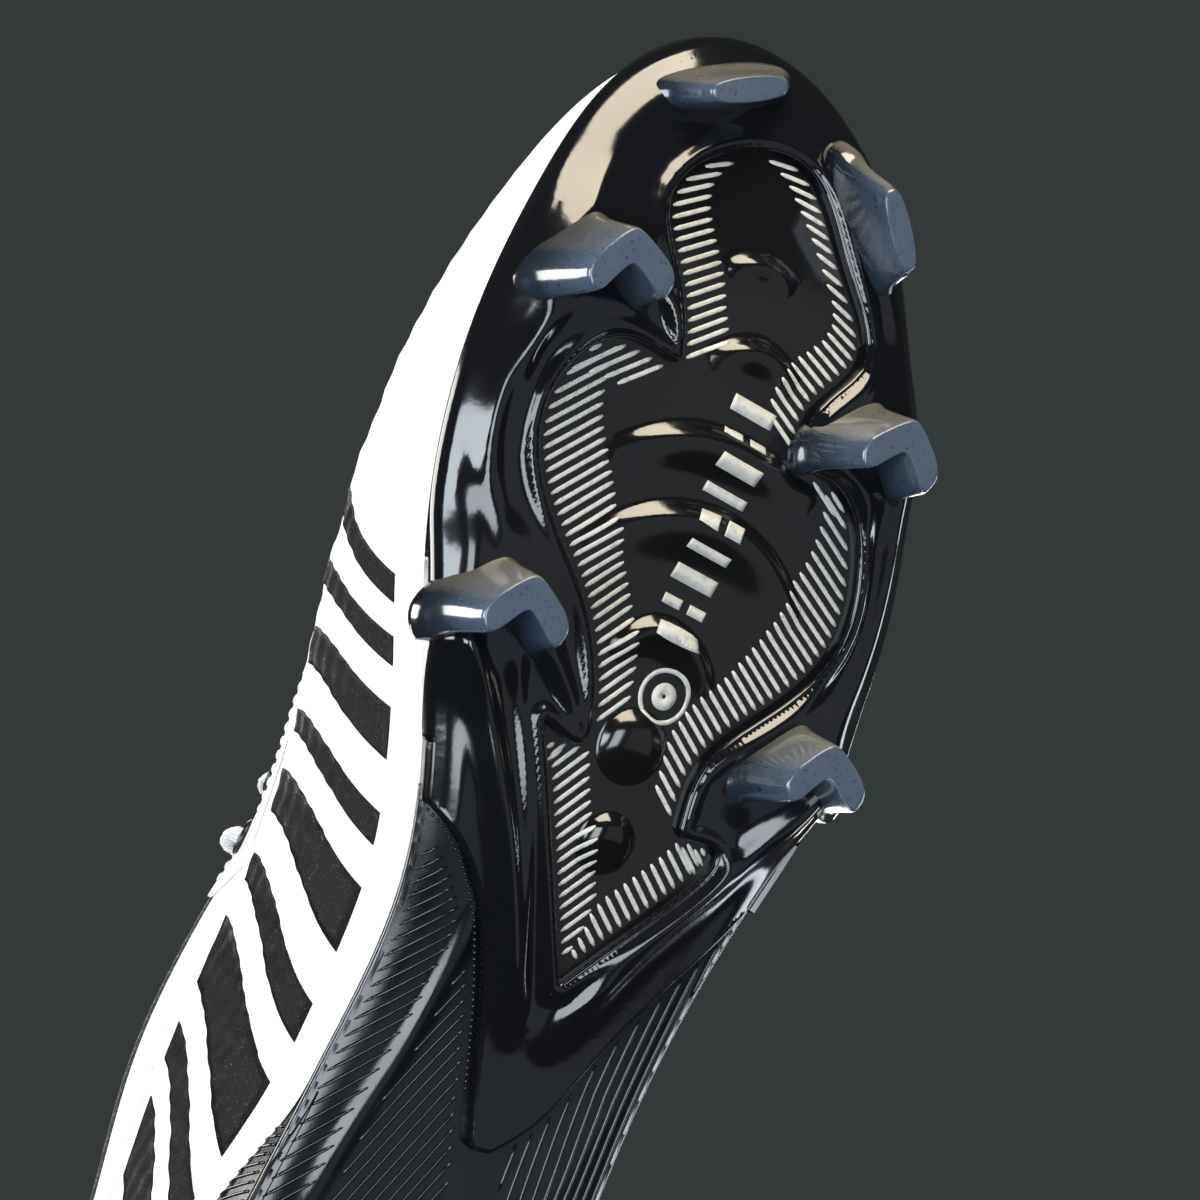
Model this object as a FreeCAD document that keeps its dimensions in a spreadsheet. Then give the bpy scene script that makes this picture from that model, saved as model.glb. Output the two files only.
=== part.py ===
"""Left lace-up soccer cleat: two-piece moulded outsole, ten studs, knit upper, tongue and lacing.

Frame: +X to the toe, +Y to the lateral (outer) side, +Z up, origin at the bottom centre of
the shoe's box, with the studs' contact faces on z = 0.  Millimetres throughout.
"""
import FreeCAD, Part
import Sketcher
import math
import os
from FreeCAD import Vector, Placement, Rotation

doc = FreeCAD.newDocument("soccer_cleat")

# Driving dimensions: alias, value, what it is.
DIMENSIONS = (
    ("ball_lift", 13.0, "height of the outsole's underside above the ground at the ball"),
    ("toe_spring", 13.0, "extra lift of the underside at the toe tip"),
    ("arch_lift", 6.0, "extra lift of the underside at the arch"),
    ("heel_drop", 5.0, "how far the underside comes down again from arch to heel"),
    ("plate_layer", 3.0, "thickness of one outsole layer"),
    ("panel_recess", 1.2, "how far the window panel sits above the plate's underside"),
    ("feather_inset", 1.5, "step from the plate's edge to the foot of the upper"),
    ("upper_thickness", 1.8, "knit upper with its backing"),
    ("stiffener_thickness", 1.2, "toe puff and heel counter"),
    ("board_thickness", 1.5, "insole board"),
    ("board_inset", 4.2, "plate edge to board edge"),
    ("liner_thickness", 3.5, "sock liner"),
    ("liner_inset", 8.0, "plate edge to sock liner edge"),
    ("liner_gap", 0.3, "space between insole board and sock liner"),
    ("padding_thickness", 4.0, "collar padding"),
    ("eyestay_thickness", 0.9, "eyestay overlay"),
    ("wing_thickness", 1.5, "arch wing of the rear plate"),
    ("blade_front", 4.0, "chevron stud: centre to blunt front"),
    ("blade_nose", 1.2, "chevron stud: half width of the blunt front"),
    ("blade_spread", 8.3, "chevron stud: half width across its arms"),
    ("blade_shoulder", 2.4, "chevron stud: centre back to the arms' front corners"),
    ("blade_heel", 7.4, "chevron stud: centre back to the arms' rear corners"),
    ("blade_tuck", 6.2, "chevron stud: half width across the rear corners"),
    ("blade_notch", 1.6, "chevron stud: centre back to the notch"),
    ("blade_gap", 0.8, "chevron stud: half width of the notch floor"),
    ("root_flare", 1.62, "stud root size over tip size"),
    ("stud_reach", 26.0, "stud height before it is trimmed to the outsole"),
    ("edge_root_length", 25.0, "toe-edge stud: root length"),
    ("edge_root_width", 9.5, "toe-edge stud: root width"),
    ("edge_tip_length", 14.0, "toe-edge stud: tip length"),
    ("edge_tip_width", 4.2, "toe-edge stud: tip width"),
    ("edge_reach", 17.0, "toe-edge stud height before it is trimmed"),
    ("lace_diameter", 2.6, "lace"),
    ("eyelet_bore", 4.6, "eyelet hole"),
    ("eyelet_rim", 7.0, "eyelet ring outside"),
    ("tab_width", 13.0, "heel pull tab"),
    ("tab_height", 15.0, "heel pull tab above its hinge line"),
    ("tab_thickness", 1.4, "heel pull tab webbing"),
    ("half_reach", 80.0, "half length of the cutting tools across the shoe"),
    ("tall_reach", 140.0, "height of the cutting tools"),
)
sheet = doc.addObject("Spreadsheet::Sheet", "dimensions")
for row, (alias, value, note) in enumerate(DIMENSIONS, start=1):
    sheet.set("A%d" % row, note)
    sheet.set("B%d" % row, str(value))
    sheet.setAlias("B%d" % row, alias)
doc.recompute()
dim = {alias: float(getattr(sheet, alias)) for alias, value, note in DIMENSIONS}

PLATE_TOP = 2.0 * dim["plate_layer"]

# Edge of the outsole seen from above, from the heel along the medial side to the toe and back.
SOLE = (
    (-141.5, -5.0), (-131.0, -27.0), (-104.0, -36.5), (-70.0, -35.0), (-38.0, -29.0), (-5.0, -26.0),
    (25.0, -33.0), (52.0, -41.5), (82.0, -44.3), (108.0, -39.0), (131.0, -27.5), (141.5, -12.0),
    (140.0, 8.0), (124.0, 24.5), (97.0, 36.0), (64.0, 44.0), (38.0, 44.0), (5.0, 35.5),
    (-32.0, 29.8), (-70.0, 27.0), (-104.0, 26.5), (-131.0, 17.0),
)
# The topline: collar and lacing throat, one point above each point of SOLE.
TOPLINE = (
    (-131.0, -5.0, 101.0), (-124.0, -20.0, 99.0), (-104.0, -29.0, 92.5), (-79.0, -31.5, 89.0),
    (-52.0, -30.0, 95.0), (-28.0, -22.0, 103.5), (-11.0, -18.0, 99.5), (4.0, -16.0, 94.0),
    (18.0, -14.5, 87.0), (32.0, -12.5, 79.5), (45.0, -9.0, 72.5), (52.0, -4.0, 68.5),
    (52.0, 1.0, 68.5), (45.0, 6.0, 72.5), (31.0, 9.0, 80.0), (14.0, 11.5, 89.0),
    (-7.0, 14.0, 98.0), (-28.0, 17.5, 103.5), (-52.0, 23.0, 95.0), (-79.0, 23.0, 89.0),
    (-104.0, 19.5, 92.5), (-124.0, 10.0, 99.0),
)
# Rear edge of the forefoot plate: a long V whose tip lies under the arch.
V_MEDIAL = ((13.5, -36.0), (7.3, -23.2), (-10.1, -10.5), (-34.2, -2.6), (-42.5, -0.5))
V_LATERAL = ((-42.5, 3.5), (-37.0, 9.5), (-23.0, 17.0), (-3.7, 27.8), (24.0, 46.0))
# Window in the forefoot plate: four smooth runs that meet at corners.
WINDOW = (
    ((-12.5, 4.5), (8.1, -5.6), (27.8, -14.5)),
    ((27.8, -14.5), (25.5, -7.5), (41.9, -10.5), (58.1, -23.3), (75.5, -30.7), (88.5, -22.0),
     (87.5, -9.5)),
    ((87.5, -9.5), (99.1, -12.7), (112.1, -18.3), (124.2, -7.0), (125.5, 5.5), (111.8, 16.5),
     (98.0, 23.0), (87.0, 16.0), (78.5, 17.0)),
    ((78.5, 17.0), (77.5, 24.5), (67.3, 32.1), (52.0, 33.2), (39.6, 25.2), (27.0, 15.5),
     (15.5, 15.2)),
    ((15.5, 15.2), (15.0, 22.5), (0.0, 14.5), (-12.5, 4.5)),
)


def smooth(value):
    """Blend that runs from 0 to 1 with level ends."""
    value = min(1.0, max(0.0, value))
    return value * value * (3.0 - 2.0 * value)


def sole_height(x):
    """Height of the outsole's underside at a distance x along the shoe."""
    height = dim["ball_lift"]
    height += dim["toe_spring"] * max(0.0, (x - 68.5) / 71.0) ** 2
    height += dim["arch_lift"] * smooth((21.5 - x) / 60.0)
    return height - dim["heel_drop"] * smooth((-63.5 - x) / 35.0)


def spline_edge(points):
    curve = Part.BSplineCurve()
    curve.interpolate(points)
    return curve.toShape()


def feature(label, shape):
    item = doc.addObject("Part::Feature", label)
    item.Label = label
    item.Shape = shape
    return item


def extrusion(label, face, direction, length):
    """Extrude a face along a direction by a spreadsheet length, both ways."""
    item = doc.addObject("Part::Extrusion", label)
    item.Base = feature(label + "_outline", face)
    item.DirMode = "Custom"
    item.Dir = direction
    item.Solid = True
    item.setExpression("LengthFwd", "dimensions." + length)
    item.setExpression("LengthRev", "dimensions." + length)
    return item


def boolean(kind, label, first, second):
    item = doc.addObject("Part::" + kind, label)
    item.Label = label
    item.Base = first
    item.Tool = second
    return item


def layer(label, low, high, x_start, x_end):
    """The space between two copies of the sole's side curve, cut off at two stations."""
    count = max(4, int((x_end - x_start) / 12.0))
    stations = [x_start + (x_end - x_start) * i / count for i in range(count + 1)]
    below = [Vector(x, 0.0, sole_height(x) + low) for x in stations]
    above = [Vector(x, 0.0, sole_height(x) + high) for x in stations]
    edges = [spline_edge(below), spline_edge(above)]
    edges.append(Part.makeLine(below[0], above[0]))
    edges.append(Part.makeLine(below[-1], above[-1]))
    wire = Part.Wire(Part.__sortEdges__(edges))
    return extrusion(label, Part.Face(wire), Vector(0.0, 1.0, 0.0), "half_reach")


def column(label, wire):
    """An upright column on a flat outline."""
    return extrusion(label, Part.Face(wire), Vector(0.0, 0.0, 1.0), "tall_reach")


def closed_curve(points, inset=0.0):
    """Closed smooth wire through points, or at an inset from that curve."""
    curve = Part.BSplineCurve()
    curve.interpolate([Vector(x, y, 0.0) for x, y in points], PeriodicFlag=True)
    if inset > 0.0:
        first, last = curve.FirstParameter, curve.LastParameter
        total = 2 * len(points)
        moved = []
        for i in range(total):
            place = first + (last - first) * i / total
            along = curve.tangent(place)[0]
            moved.append(curve.value(place) - Vector(along.y, -along.x, 0.0) * inset)
        curve.interpolate(moved, PeriodicFlag=True)
    return Part.Wire(curve.toShape())


# ---------- free-form upper ----------
AROUND = 72     # columns round the shoe
UP = 9          # rows from the foot of the upper to its topline
FOOT_GAP = 0.05


def periodic_samples(points, count):
    """Even samples of a closed curve that passes its given points at even parameters."""
    total = len(points)
    samples = []
    for i in range(count):
        place = i * total / count
        k = int(place)
        f = place - k
        a, b, c, d = (Vector(*points[(k + j) % total]) for j in (-1, 0, 1, 2))
        value = b * 2.0 + (c - a) * f + (a * 2.0 - b * 5.0 + c * 4.0 - d) * f * f
        value += (b * 3.0 - a - c * 3.0 + d) * f ** 3
        samples.append(value * 0.5)
    return samples


def upper_grid():
    """Columns of points on the upper's outer face, each from its foot up to the topline."""
    feet = periodic_samples([(x, y, 0.0) for x, y in SOLE], AROUND)
    tops = periodic_samples(TOPLINE, AROUND)
    columns = []
    for i in range(AROUND):
        along = feet[(i + 1) % AROUND] - feet[i - 1]
        outward = Vector(along.y, -along.x, 0.0).normalize()
        foot = feet[i] - outward * dim["feather_inset"]
        foot.z = sole_height(foot.x) + PLATE_TOP + FOOT_GAP
        top = tops[i]
        level = Vector(foot.x - top.x, foot.y - top.y, 0.0)
        rise = top.z - foot.z
        steep = rise / (rise + level.Length)
        low_handle = foot + outward * 4.0 + Vector(0.0, 0.0, 0.54 * rise)
        high_handle = top + level * 0.62 - Vector(0.0, 0.0, (0.06 + 0.32 * steep) * rise)
        column_points = []
        for j in range(UP):
            f = j / (UP - 1.0)
            g = 1.0 - f
            column_points.append(foot * g ** 3 + low_handle * (3 * g * g * f)
                                 + high_handle * (3 * g * f * f) + top * f ** 3)
        columns.append(column_points)
    return columns


GRID = upper_grid()


END_KNOTS = [4] + [1] * (UP - 4) + [4]
TOP_KNOT = UP - 3.0


def closed_surface(poles):
    """Cubic surface, closed round the shoe, with these poles."""
    surface = Part.BSplineSurface()
    surface.buildFromPolesMultsKnots(poles, [1] * (AROUND + 1), END_KNOTS, list(range(AROUND + 1)),
                                     list(range(UP - 2)), True, False, 3, 3)
    return surface


OUTER = closed_surface(GRID)


def inner_poles():
    """The outer poles moved inwards by the upper's thickness, each along the normal nearest it."""
    knots = [0.0] * 4 + [float(k) for k in range(1, UP - 3)] + [TOP_KNOT] * 4
    poles = []
    for i, column_points in enumerate(GRID):
        moved = []
        for j, pole in enumerate(column_points):
            nearest = (knots[j + 1] + knots[j + 2] + knots[j + 3]) / 3.0
            moved.append(pole - OUTER.normal((i - 1.0) % AROUND, nearest) * dim["upper_thickness"])
        poles.append(moved)
    return poles


def on_upper(turn, place, offset=0.0):
    """Point off the upper's outer face: column number, place from 0 (foot) to 1 (topline)."""
    u = (turn - 1.0) % AROUND
    v = place * TOP_KNOT
    return OUTER.value(u, v) + OUTER.normal(u, v) * offset


def patch(first, last, low, high, offset):
    """Points at an offset from the upper's outer face, between columns and places."""
    rows = max(4, int(round((high - low) * (UP - 1))) + 1)
    grid = []
    for i in range(first, last + 1):
        grid.append([on_upper(i, low + (high - low) * j / (rows - 1.0), offset) for j in range(rows)])
    return grid


def solid_between(outer, inner):
    """Closed solid between two like grids of points: two splined faces and ruled rims."""
    faces = []
    surfaces = []
    for grid in (outer, inner):
        surface = Part.BSplineSurface()
        surface.interpolate(grid)
        surfaces.append(surface)
        faces.append(surface.toShape())
    spans = [surface.bounds() for surface in surfaces]
    for side in (0, 1):
        edges = [s.uIso(b[side]).toShape() for s, b in zip(surfaces, spans)]
        faces.append(Part.makeRuledSurface(edges[0], edges[1]))
        edges = [s.vIso(b[2 + side]).toShape() for s, b in zip(surfaces, spans)]
        faces.append(Part.makeRuledSurface(edges[0], edges[1]))
    shell = Part.makeShell(faces)
    shell.sewShape(1e-4)
    solid = Part.Solid(shell.Shells[0] if shell.ShapeType == "Compound" else shell)
    if solid.Volume < 0.0:
        solid.reverse()
    return solid


def skin(first, last, low, high, outer_offset, inner_offset):
    return solid_between(patch(first, last, low, high, outer_offset),
                         patch(first, last, low, high, inner_offset))


# ---------- outsole ----------
sole_edge = closed_curve(SOLE)
v_edges = [spline_edge([Vector(x, y, 0.0) for x, y in V_MEDIAL])]
v_edges.append(spline_edge([Vector(x, y, 0.0) for x, y in V_LATERAL]))
v_border = [V_MEDIAL[-1], V_LATERAL[0]]
v_edges.append(Part.makeLine(Vector(*v_border[0], 0.0), Vector(*v_border[1], 0.0)))
v_frame = [V_LATERAL[-1], (24.0, 60.0), (160.0, 60.0), (160.0, -60.0), (13.5, -60.0), V_MEDIAL[0]]
v_edges += [Part.makeLine(Vector(*a, 0.0), Vector(*b, 0.0)) for a, b in zip(v_frame, v_frame[1:])]
v_wire = Part.Wire(Part.__sortEdges__(v_edges))
window_runs = [spline_edge([Vector(x, y, 0.0) for x, y in run]) for run in WINDOW]
window_wire = Part.Wire(Part.__sortEdges__(window_runs))

UNDER_REAR = 20.0    # the forefoot plate is double thickness ahead of this station
REAR_END = -150.0
TOE_END = 150.0

forefoot_blank = boolean("Common", "forefoot_blank", column("sole_column", sole_edge),
                         layer("full_depth", 0.0, PLATE_TOP, REAR_END, TOE_END))
forefoot_v = boolean("Common", "forefoot_v", forefoot_blank, column("v_column", v_wire))
rear_space = layer("rear_space", dim["plate_layer"], 3.0 * PLATE_TOP, REAR_END, UNDER_REAR)
forefoot_stepped = boolean("Cut", "forefoot_stepped", forefoot_v, rear_space)
rear_layer = layer("rear_layer", dim["plate_layer"], PLATE_TOP, REAR_END, UNDER_REAR)
window_column = column("window_column", window_wire)
window_depth = boolean("Common", "window_depth", window_column,
                       layer("lower_depth", -1.0, dim["plate_layer"], REAR_END, TOE_END))
boolean("Cut", "forefoot_plate", forefoot_stepped, window_depth)
boolean("Common", "window_panel", window_column,
        layer("panel_depth", dim["panel_recess"], dim["plate_layer"], REAR_END, TOE_END))

WING_COLUMNS = (2, 13)
WING_ROWS = 5
WING_TOP = 0.15
wing_grids = []
for wing_offset in (dim["wing_thickness"], 0.12):
    grid = []
    for i in range(WING_COLUMNS[0], WING_COLUMNS[1] + 1):
        share = (i - WING_COLUMNS[0]) / float(WING_COLUMNS[1] - WING_COLUMNS[0])
        top = 0.01 + WING_TOP * math.sin(math.pi * share ** 0.75) ** 1.6
        line = [on_upper(i, top * j / (WING_ROWS - 1.0), wing_offset) for j in range(WING_ROWS)]
        line.insert(0, line[0] - Vector(0.0, 0.0, 2.0))
        grid.append(line)
    wing_grids.append(grid)
wing = solid_between(wing_grids[0], wing_grids[1])
rear_slab = boolean("Common", "rear_slab", column("rear_column", sole_edge), rear_layer)
doc.recompute()
wing_tool = feature("arch_wing_blank", wing)
boolean("Fuse", "rear_plate", rear_slab, wing_tool)


# ---------- studs ----------
def point_sketch(body, name, height, corners):
    """Closed polygon sketch on a level plane; each corner's place is a pair of expressions."""
    sketch = body.newObject("Sketcher::SketchObject", name)
    planes = [o for o in body.Origin.OriginFeatures if o.Role == "XY_Plane"]
    sketch.AttachmentSupport = [(planes[0], "")]
    sketch.MapMode = "FlatFace"
    if height:
        sketch.setExpression(".AttachmentOffset.Base.z", height)
    values = [(evaluate(a), evaluate(b)) for a, b in corners]
    total = len(values)
    for k in range(total):
        start = Vector(*values[k], 0.0)
        end = Vector(*values[(k + 1) % total], 0.0)
        sketch.addGeometry(Part.LineSegment(start, end))
    for k in range(total):
        sketch.addConstraint(Sketcher.Constraint("Coincident", k, 2, (k + 1) % total, 1))
    for k in range(total):
        for axis, place in zip("XY", (0, 1)):
            index = sketch.addConstraint(
                Sketcher.Constraint("Distance" + axis, -1, 1, k, 1, values[k][place]))
            sketch.renameConstraint(index, "c%s%d" % (axis, k))
            sketch.setExpression("Constraints.c%s%d" % (axis, k), corners[k][place])
    return sketch


def evaluate(expression):
    """Value of a product of sheet aliases and numbers, with an optional leading minus."""
    value = 1.0
    text = expression
    if text.startswith("-"):
        value = -1.0
        text = text[1:]
    for factor in text.split(" * "):
        if factor.startswith("dimensions."):
            value *= dim[factor[len("dimensions."):]]
        else:
            value *= float(factor)
    return value


STUD_SEAT = 0.06    # left between a stud's root and the outsole


def lofted_stud(label, spot, turn, tip_height, reach, tip, root):
    """Stud lofted between two level sketches and trimmed to the outsole's underside."""
    body = doc.addObject("PartDesign::Body", label + "_body")
    tip_sketch = point_sketch(body, label + "_tip", None, tip)
    root_sketch = point_sketch(body, label + "_root", "dimensions." + reach, root)
    loft = body.newObject("PartDesign::AdditiveLoft", label + "_loft")
    loft.Profile = tip_sketch
    loft.Sections = [root_sketch]
    loft.Ruled = True
    body.Tip = loft
    body.Placement = Placement(Vector(spot[0], spot[1], tip_height), Rotation(turn, 0.0, 0.0))
    low = (dim["plate_layer"] if spot[0] < 0.0 else 0.0) - STUD_SEAT
    above = layer(label + "_above", low, 60.0, spot[0] - 25.0, spot[0] + 25.0)
    return boolean("Cut", label, body, above)


def chevron(scale):
    names = (("blade_front", "blade_nose", 1, 1), ("blade_shoulder", "blade_spread", -1, 1),
             ("blade_heel", "blade_tuck", -1, 1), ("blade_notch", "blade_gap", -1, 1),
             ("blade_notch", "blade_gap", -1, -1), ("blade_heel", "blade_tuck", -1, -1),
             ("blade_shoulder", "blade_spread", -1, -1), ("blade_front", "blade_nose", 1, -1))
    corners = []
    for along, across, along_sign, across_sign in names:
        x = ("-" if along_sign < 0 else "") + "dimensions." + along + scale
        y = ("-" if across_sign < 0 else "") + "dimensions." + across + scale
        corners.append((x, y))
    return corners


def oblong(length, width):
    half = " * 0.5"
    corners = []
    for along_sign, across_sign in (("", ""), ("-", ""), ("-", "-"), ("", "-")):
        corners.append((along_sign + "dimensions." + length + half,
                        across_sign + "dimensions." + width + half))
    return corners


CHEVRON_STUDS = (
    ("medial_front_stud", (100.1, -30.5), -13.0), ("lateral_middle_stud", (87.0, 26.5), 3.0),
    ("medial_rear_stud", (45.2, -29.4), -4.0), ("lateral_rear_stud", (33.6, 31.0), -6.0),
    ("heel_medial_front_stud", (-78.0, -23.5), 6.0), ("heel_lateral_front_stud", (-78.0, 15.0), -6.0),
    ("heel_medial_rear_stud", (-118.0, -20.0), 12.0), ("heel_lateral_rear_stud", (-118.0, 10.0), -12.0),
)
for name, place, yaw in CHEVRON_STUDS:
    lofted_stud(name, place, yaw, 0.0, "stud_reach", chevron(""),
                chevron(" * dimensions.root_flare"))
EDGE_STUDS = (
    ("toe_stud", (132.5, -12.5), 66.0, 14.0), ("lateral_front_stud", (119.5, 18.0), -36.0, 8.0),
)
for name, place, yaw, tip_height in EDGE_STUDS:
    lofted_stud(name, place, yaw, tip_height, "edge_reach",
                oblong("edge_tip_length", "edge_tip_width"),
                oblong("edge_root_length", "edge_root_width"))


# ---------- insole ----------
board_low = PLATE_TOP + 0.02
board_high = board_low + dim["board_thickness"]
liner_low = board_high + dim["liner_gap"]
boolean("Common", "insole_board", column("board_column", closed_curve(SOLE, dim["board_inset"])),
        layer("board_layer", board_low, board_high, REAR_END, TOE_END))
boolean("Common", "sock_liner", column("liner_column", closed_curve(SOLE, dim["liner_inset"])),
        layer("liner_layer", liner_low, liner_low + dim["liner_thickness"], REAR_END, TOE_END))


# ---------- lacing places ----------
THROAT_ROWS = (42.0, 30.5, 19.0, 8.0, -4.0, -15.5)
MEDIAL_THROAT = (14.0, 35.0)
LATERAL_THROAT = (60.0, 40.0)
EYELET_FROM_EDGE = 6.5


def throat_place(side, station, offset, from_edge):
    """Point above the upper at a distance from the throat's edge."""
    near, far = side
    while abs(far - near) > 0.001:
        middle = (near + far) / 2.0
        if on_upper(middle, 1.0).x < station:
            near = middle
        else:
            far = middle
    edge = on_upper(near, 1.0)
    place = 1.0
    while (on_upper(near, place) - edge).Length < from_edge:
        place -= 0.002
    return on_upper(near, place, offset)


eyelet_places = []
for station in THROAT_ROWS:
    for side in (MEDIAL_THROAT, LATERAL_THROAT):
        point = throat_place(side, station, 0.0, EYELET_FROM_EDGE)
        normal = throat_place(side, station, 1.0, EYELET_FROM_EDGE) - point
        eyelet_places.append((point, normal))
bores = []
for point, normal in eyelet_places:
    bores.append(Part.makeCylinder(dim["eyelet_bore"] / 2.0, 14.0, point - normal * 7.0, normal))
bore_tool = feature("eyelet_bores", bores[0].fuse(bores[1:]))

# ---------- upper and its layers ----------
# Columns where the upper's faces part, all of them between lacing holes.
SEAMS = (3.0, 9.0, 15.0, 22.5, 27.75, 34.5, 40.0, 47.0, 51.0, 57.0, 63.0, 69.0)
INNER = closed_surface(inner_poles())
upper_faces = []
for first, last in zip(SEAMS, SEAMS[1:] + (SEAMS[0] + AROUND,)):
    panels = []
    for surface in (OUTER, INNER):
        panel = surface.copy()
        panel.segment(first - 1.0, last - 1.0, 0.0, TOP_KNOT)
        panels.append(panel)
        upper_faces.append(panel.toShape())
    for end in (0.0, TOP_KNOT):
        rims = [panel.vIso(end).toShape() for panel in panels]
        upper_faces.append(Part.makeRuledSurface(rims[0], rims[1]))
upper_shell = Part.makeShell(upper_faces)
upper_shell.sewShape(1e-4)
boolean("Cut", "upper", feature("upper_blank", Part.Solid(upper_shell)), bore_tool)

inside = -dim["upper_thickness"] - 0.25
stiff = inside - dim["stiffener_thickness"]
feature("toe_puff", skin(30, 46, 0.06, 0.5, inside, stiff))
feature("heel_counter", skin(-10, 10, 0.06, 0.6, inside, stiff))
feature("collar_padding", skin(-13, 13, 0.68, 0.985, inside, inside - dim["padding_thickness"]))
for label, columns in (("eyestay_medial", (17, 33)), ("eyestay_lateral", (41, 57))):
    overlay = feature(label + "_blank", skin(columns[0], columns[1], 0.86, 0.995,
                                             dim["eyestay_thickness"], 0.1))
    boolean("Cut", label, overlay, bore_tool)

ring_low = dim["eyestay_thickness"] + 0.25
rings = []
for point, normal in eyelet_places:
    base = point + normal * ring_low
    disc = Part.makeCylinder(dim["eyelet_rim"] / 2.0, 0.5, base, normal)
    rings.append(disc.cut(Part.makeCylinder(dim["eyelet_bore"] / 2.0, 0.5, base, normal)))
feature("eyelet_rings", Part.makeCompound(rings))

# ---------- tongue ----------
# Crown line of the tongue: along, height, half width, drop of its sides, thickness.
TONGUE = (
    (62.0, 57.4, 15.0, 8.0, 2.5), (52.0, 61.9, 16.0, 9.0, 3.0), (40.0, 69.7, 17.5, 11.5, 3.5),
    (24.0, 80.2, 18.5, 13.0, 3.5), (8.0, 88.7, 19.5, 13.5, 3.5), (-10.0, 96.2, 20.0, 13.5, 4.0),
    (-28.0, 102.4, 20.0, 12.5, 4.5), (-39.0, 108.6, 19.5, 11.5, 4.5), (-45.0, 115.8, 17.5, 9.5, 3.5),
)
TONGUE_MIDDLE = -1.5
tongue_faces = []
for lower in (False, True):
    grid = []
    for x, crown, half_width, drop, thick in TONGUE:
        line = []
        for step in range(-4, 5):
            a = step / 4.0
            height = crown - drop * a * a
            if lower:
                height -= thick * (1.0 - 0.5 * a * a)
            line.append(Vector(x, TONGUE_MIDDLE + half_width * a, height))
        grid.append(line)
    tongue_faces.append(grid)
feature("tongue", solid_between(tongue_faces[0], tongue_faces[1]))

# ---------- lace ----------
LACE_OVER = 3.2
LACE_UNDER = -3.6
route = []
sides = [LATERAL_THROAT, MEDIAL_THROAT]
for number, station in enumerate(THROAT_ROWS):
    near, far = sides if number % 2 == 0 else sides[::-1]
    route.append(throat_place(near, station, LACE_UNDER, EYELET_FROM_EDGE))
    route.append(throat_place(near, station, LACE_OVER, EYELET_FROM_EDGE))
    route.append(throat_place(near, station, LACE_OVER, 0.0))
    route.append(throat_place(far, station, LACE_OVER, 0.0))
    route.append(throat_place(far, station, LACE_OVER, EYELET_FROM_EDGE))
    route.append(throat_place(far, station, LACE_UNDER, EYELET_FROM_EDGE))
# The lace starts from its knot inside, and its end lies down the outside of the lateral side.
route.insert(0, route[0] + Vector(10.0, 3.0, -5.0))
route[-1] = throat_place(LATERAL_THROAT, THROAT_ROWS[-1], 2.7, 15.0)
route.append(throat_place(LATERAL_THROAT, THROAT_ROWS[-1], 2.6, 24.0))


def rounded_tube(points, diameter):
    """Round tube along straight runs joined by the largest tangent arcs they allow."""
    edges = []
    radii = []
    start = points[0]
    for before, corner, after in zip(points, points[1:], points[2:]):
        into = (corner - before).normalize()
        out = (after - corner).normalize()
        cut_back = 0.45 * min((corner - before).Length, (after - corner).Length)
        radii.append(cut_back / math.tan(into.getAngle(out) / 2.0))
        enter = corner - into * cut_back
        leave = corner + out * cut_back
        half = (into + out * -1.0).normalize()
        middle_gap = radii[-1] / math.cos(into.getAngle(out) / 2.0) - radii[-1]
        middle = corner - half * middle_gap
        edges.append(Part.LineSegment(start, enter).toShape())
        edges.append(Part.Arc(enter, middle, leave).toShape())
        start = leave
    edges.append(Part.LineSegment(start, points[-1]).toShape())
    path = Part.Wire(edges)
    along = (points[1] - points[0]).normalize()
    ring = Part.Wire(Part.makeCircle(diameter / 2.0, points[0], along))
    tube = path.makePipeShell([ring], True, True)
    print("tube length %.1f, volume ratio %.4f, smallest radius %.1f" % (
        path.Length, tube.Volume / (math.pi * diameter ** 2 / 4.0 * path.Length), min(radii)))
    return tube


feature("lace", rounded_tube(route, dim["lace_diameter"]))
end_way = (route[-1] - route[-2]).normalize()
feature("lace_aglet", Part.makeCylinder(dim["lace_diameter"] / 2.0 + 0.15, 12.0, route[-1], end_way))
start_way = (route[0] - route[1]).normalize()
feature("lace_knot", Part.makeSphere(2.6, route[0] + start_way * 2.58))

# ---------- heel pull tab ----------
tab_middle = TOPLINE[0][1]
bead = 2.3
tab_foot = Vector(-128.0, tab_middle - dim["tab_width"] / 2.0, TOPLINE[0][2] + bead + 0.7)
tab_root = Part.makeCylinder(bead, dim["tab_width"], tab_foot, Vector(0.0, 1.0, 0.0))
leg_depth = 2.0 * bead
tab_slab = Part.makeBox(leg_depth, dim["tab_width"], dim["tab_height"] - bead,
                        tab_foot - Vector(bead, 0.0, 0.0))
tab_top = Part.makeCylinder(bead, dim["tab_width"],
                            tab_foot + Vector(0.0, 0.0, dim["tab_height"] - bead), Vector(0.0, 1.0, 0.0))
slot_half = bead - dim["tab_thickness"]
slot = Part.makeBox(2.0 * slot_half, dim["tab_width"], dim["tab_height"] - 2.0 * bead,
                    tab_foot + Vector(-slot_half, 0.0, bead / 2.0))
feature("heel_tab", tab_root.fuse([tab_slab, tab_top]).cut(slot).removeSplitter())

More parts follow.
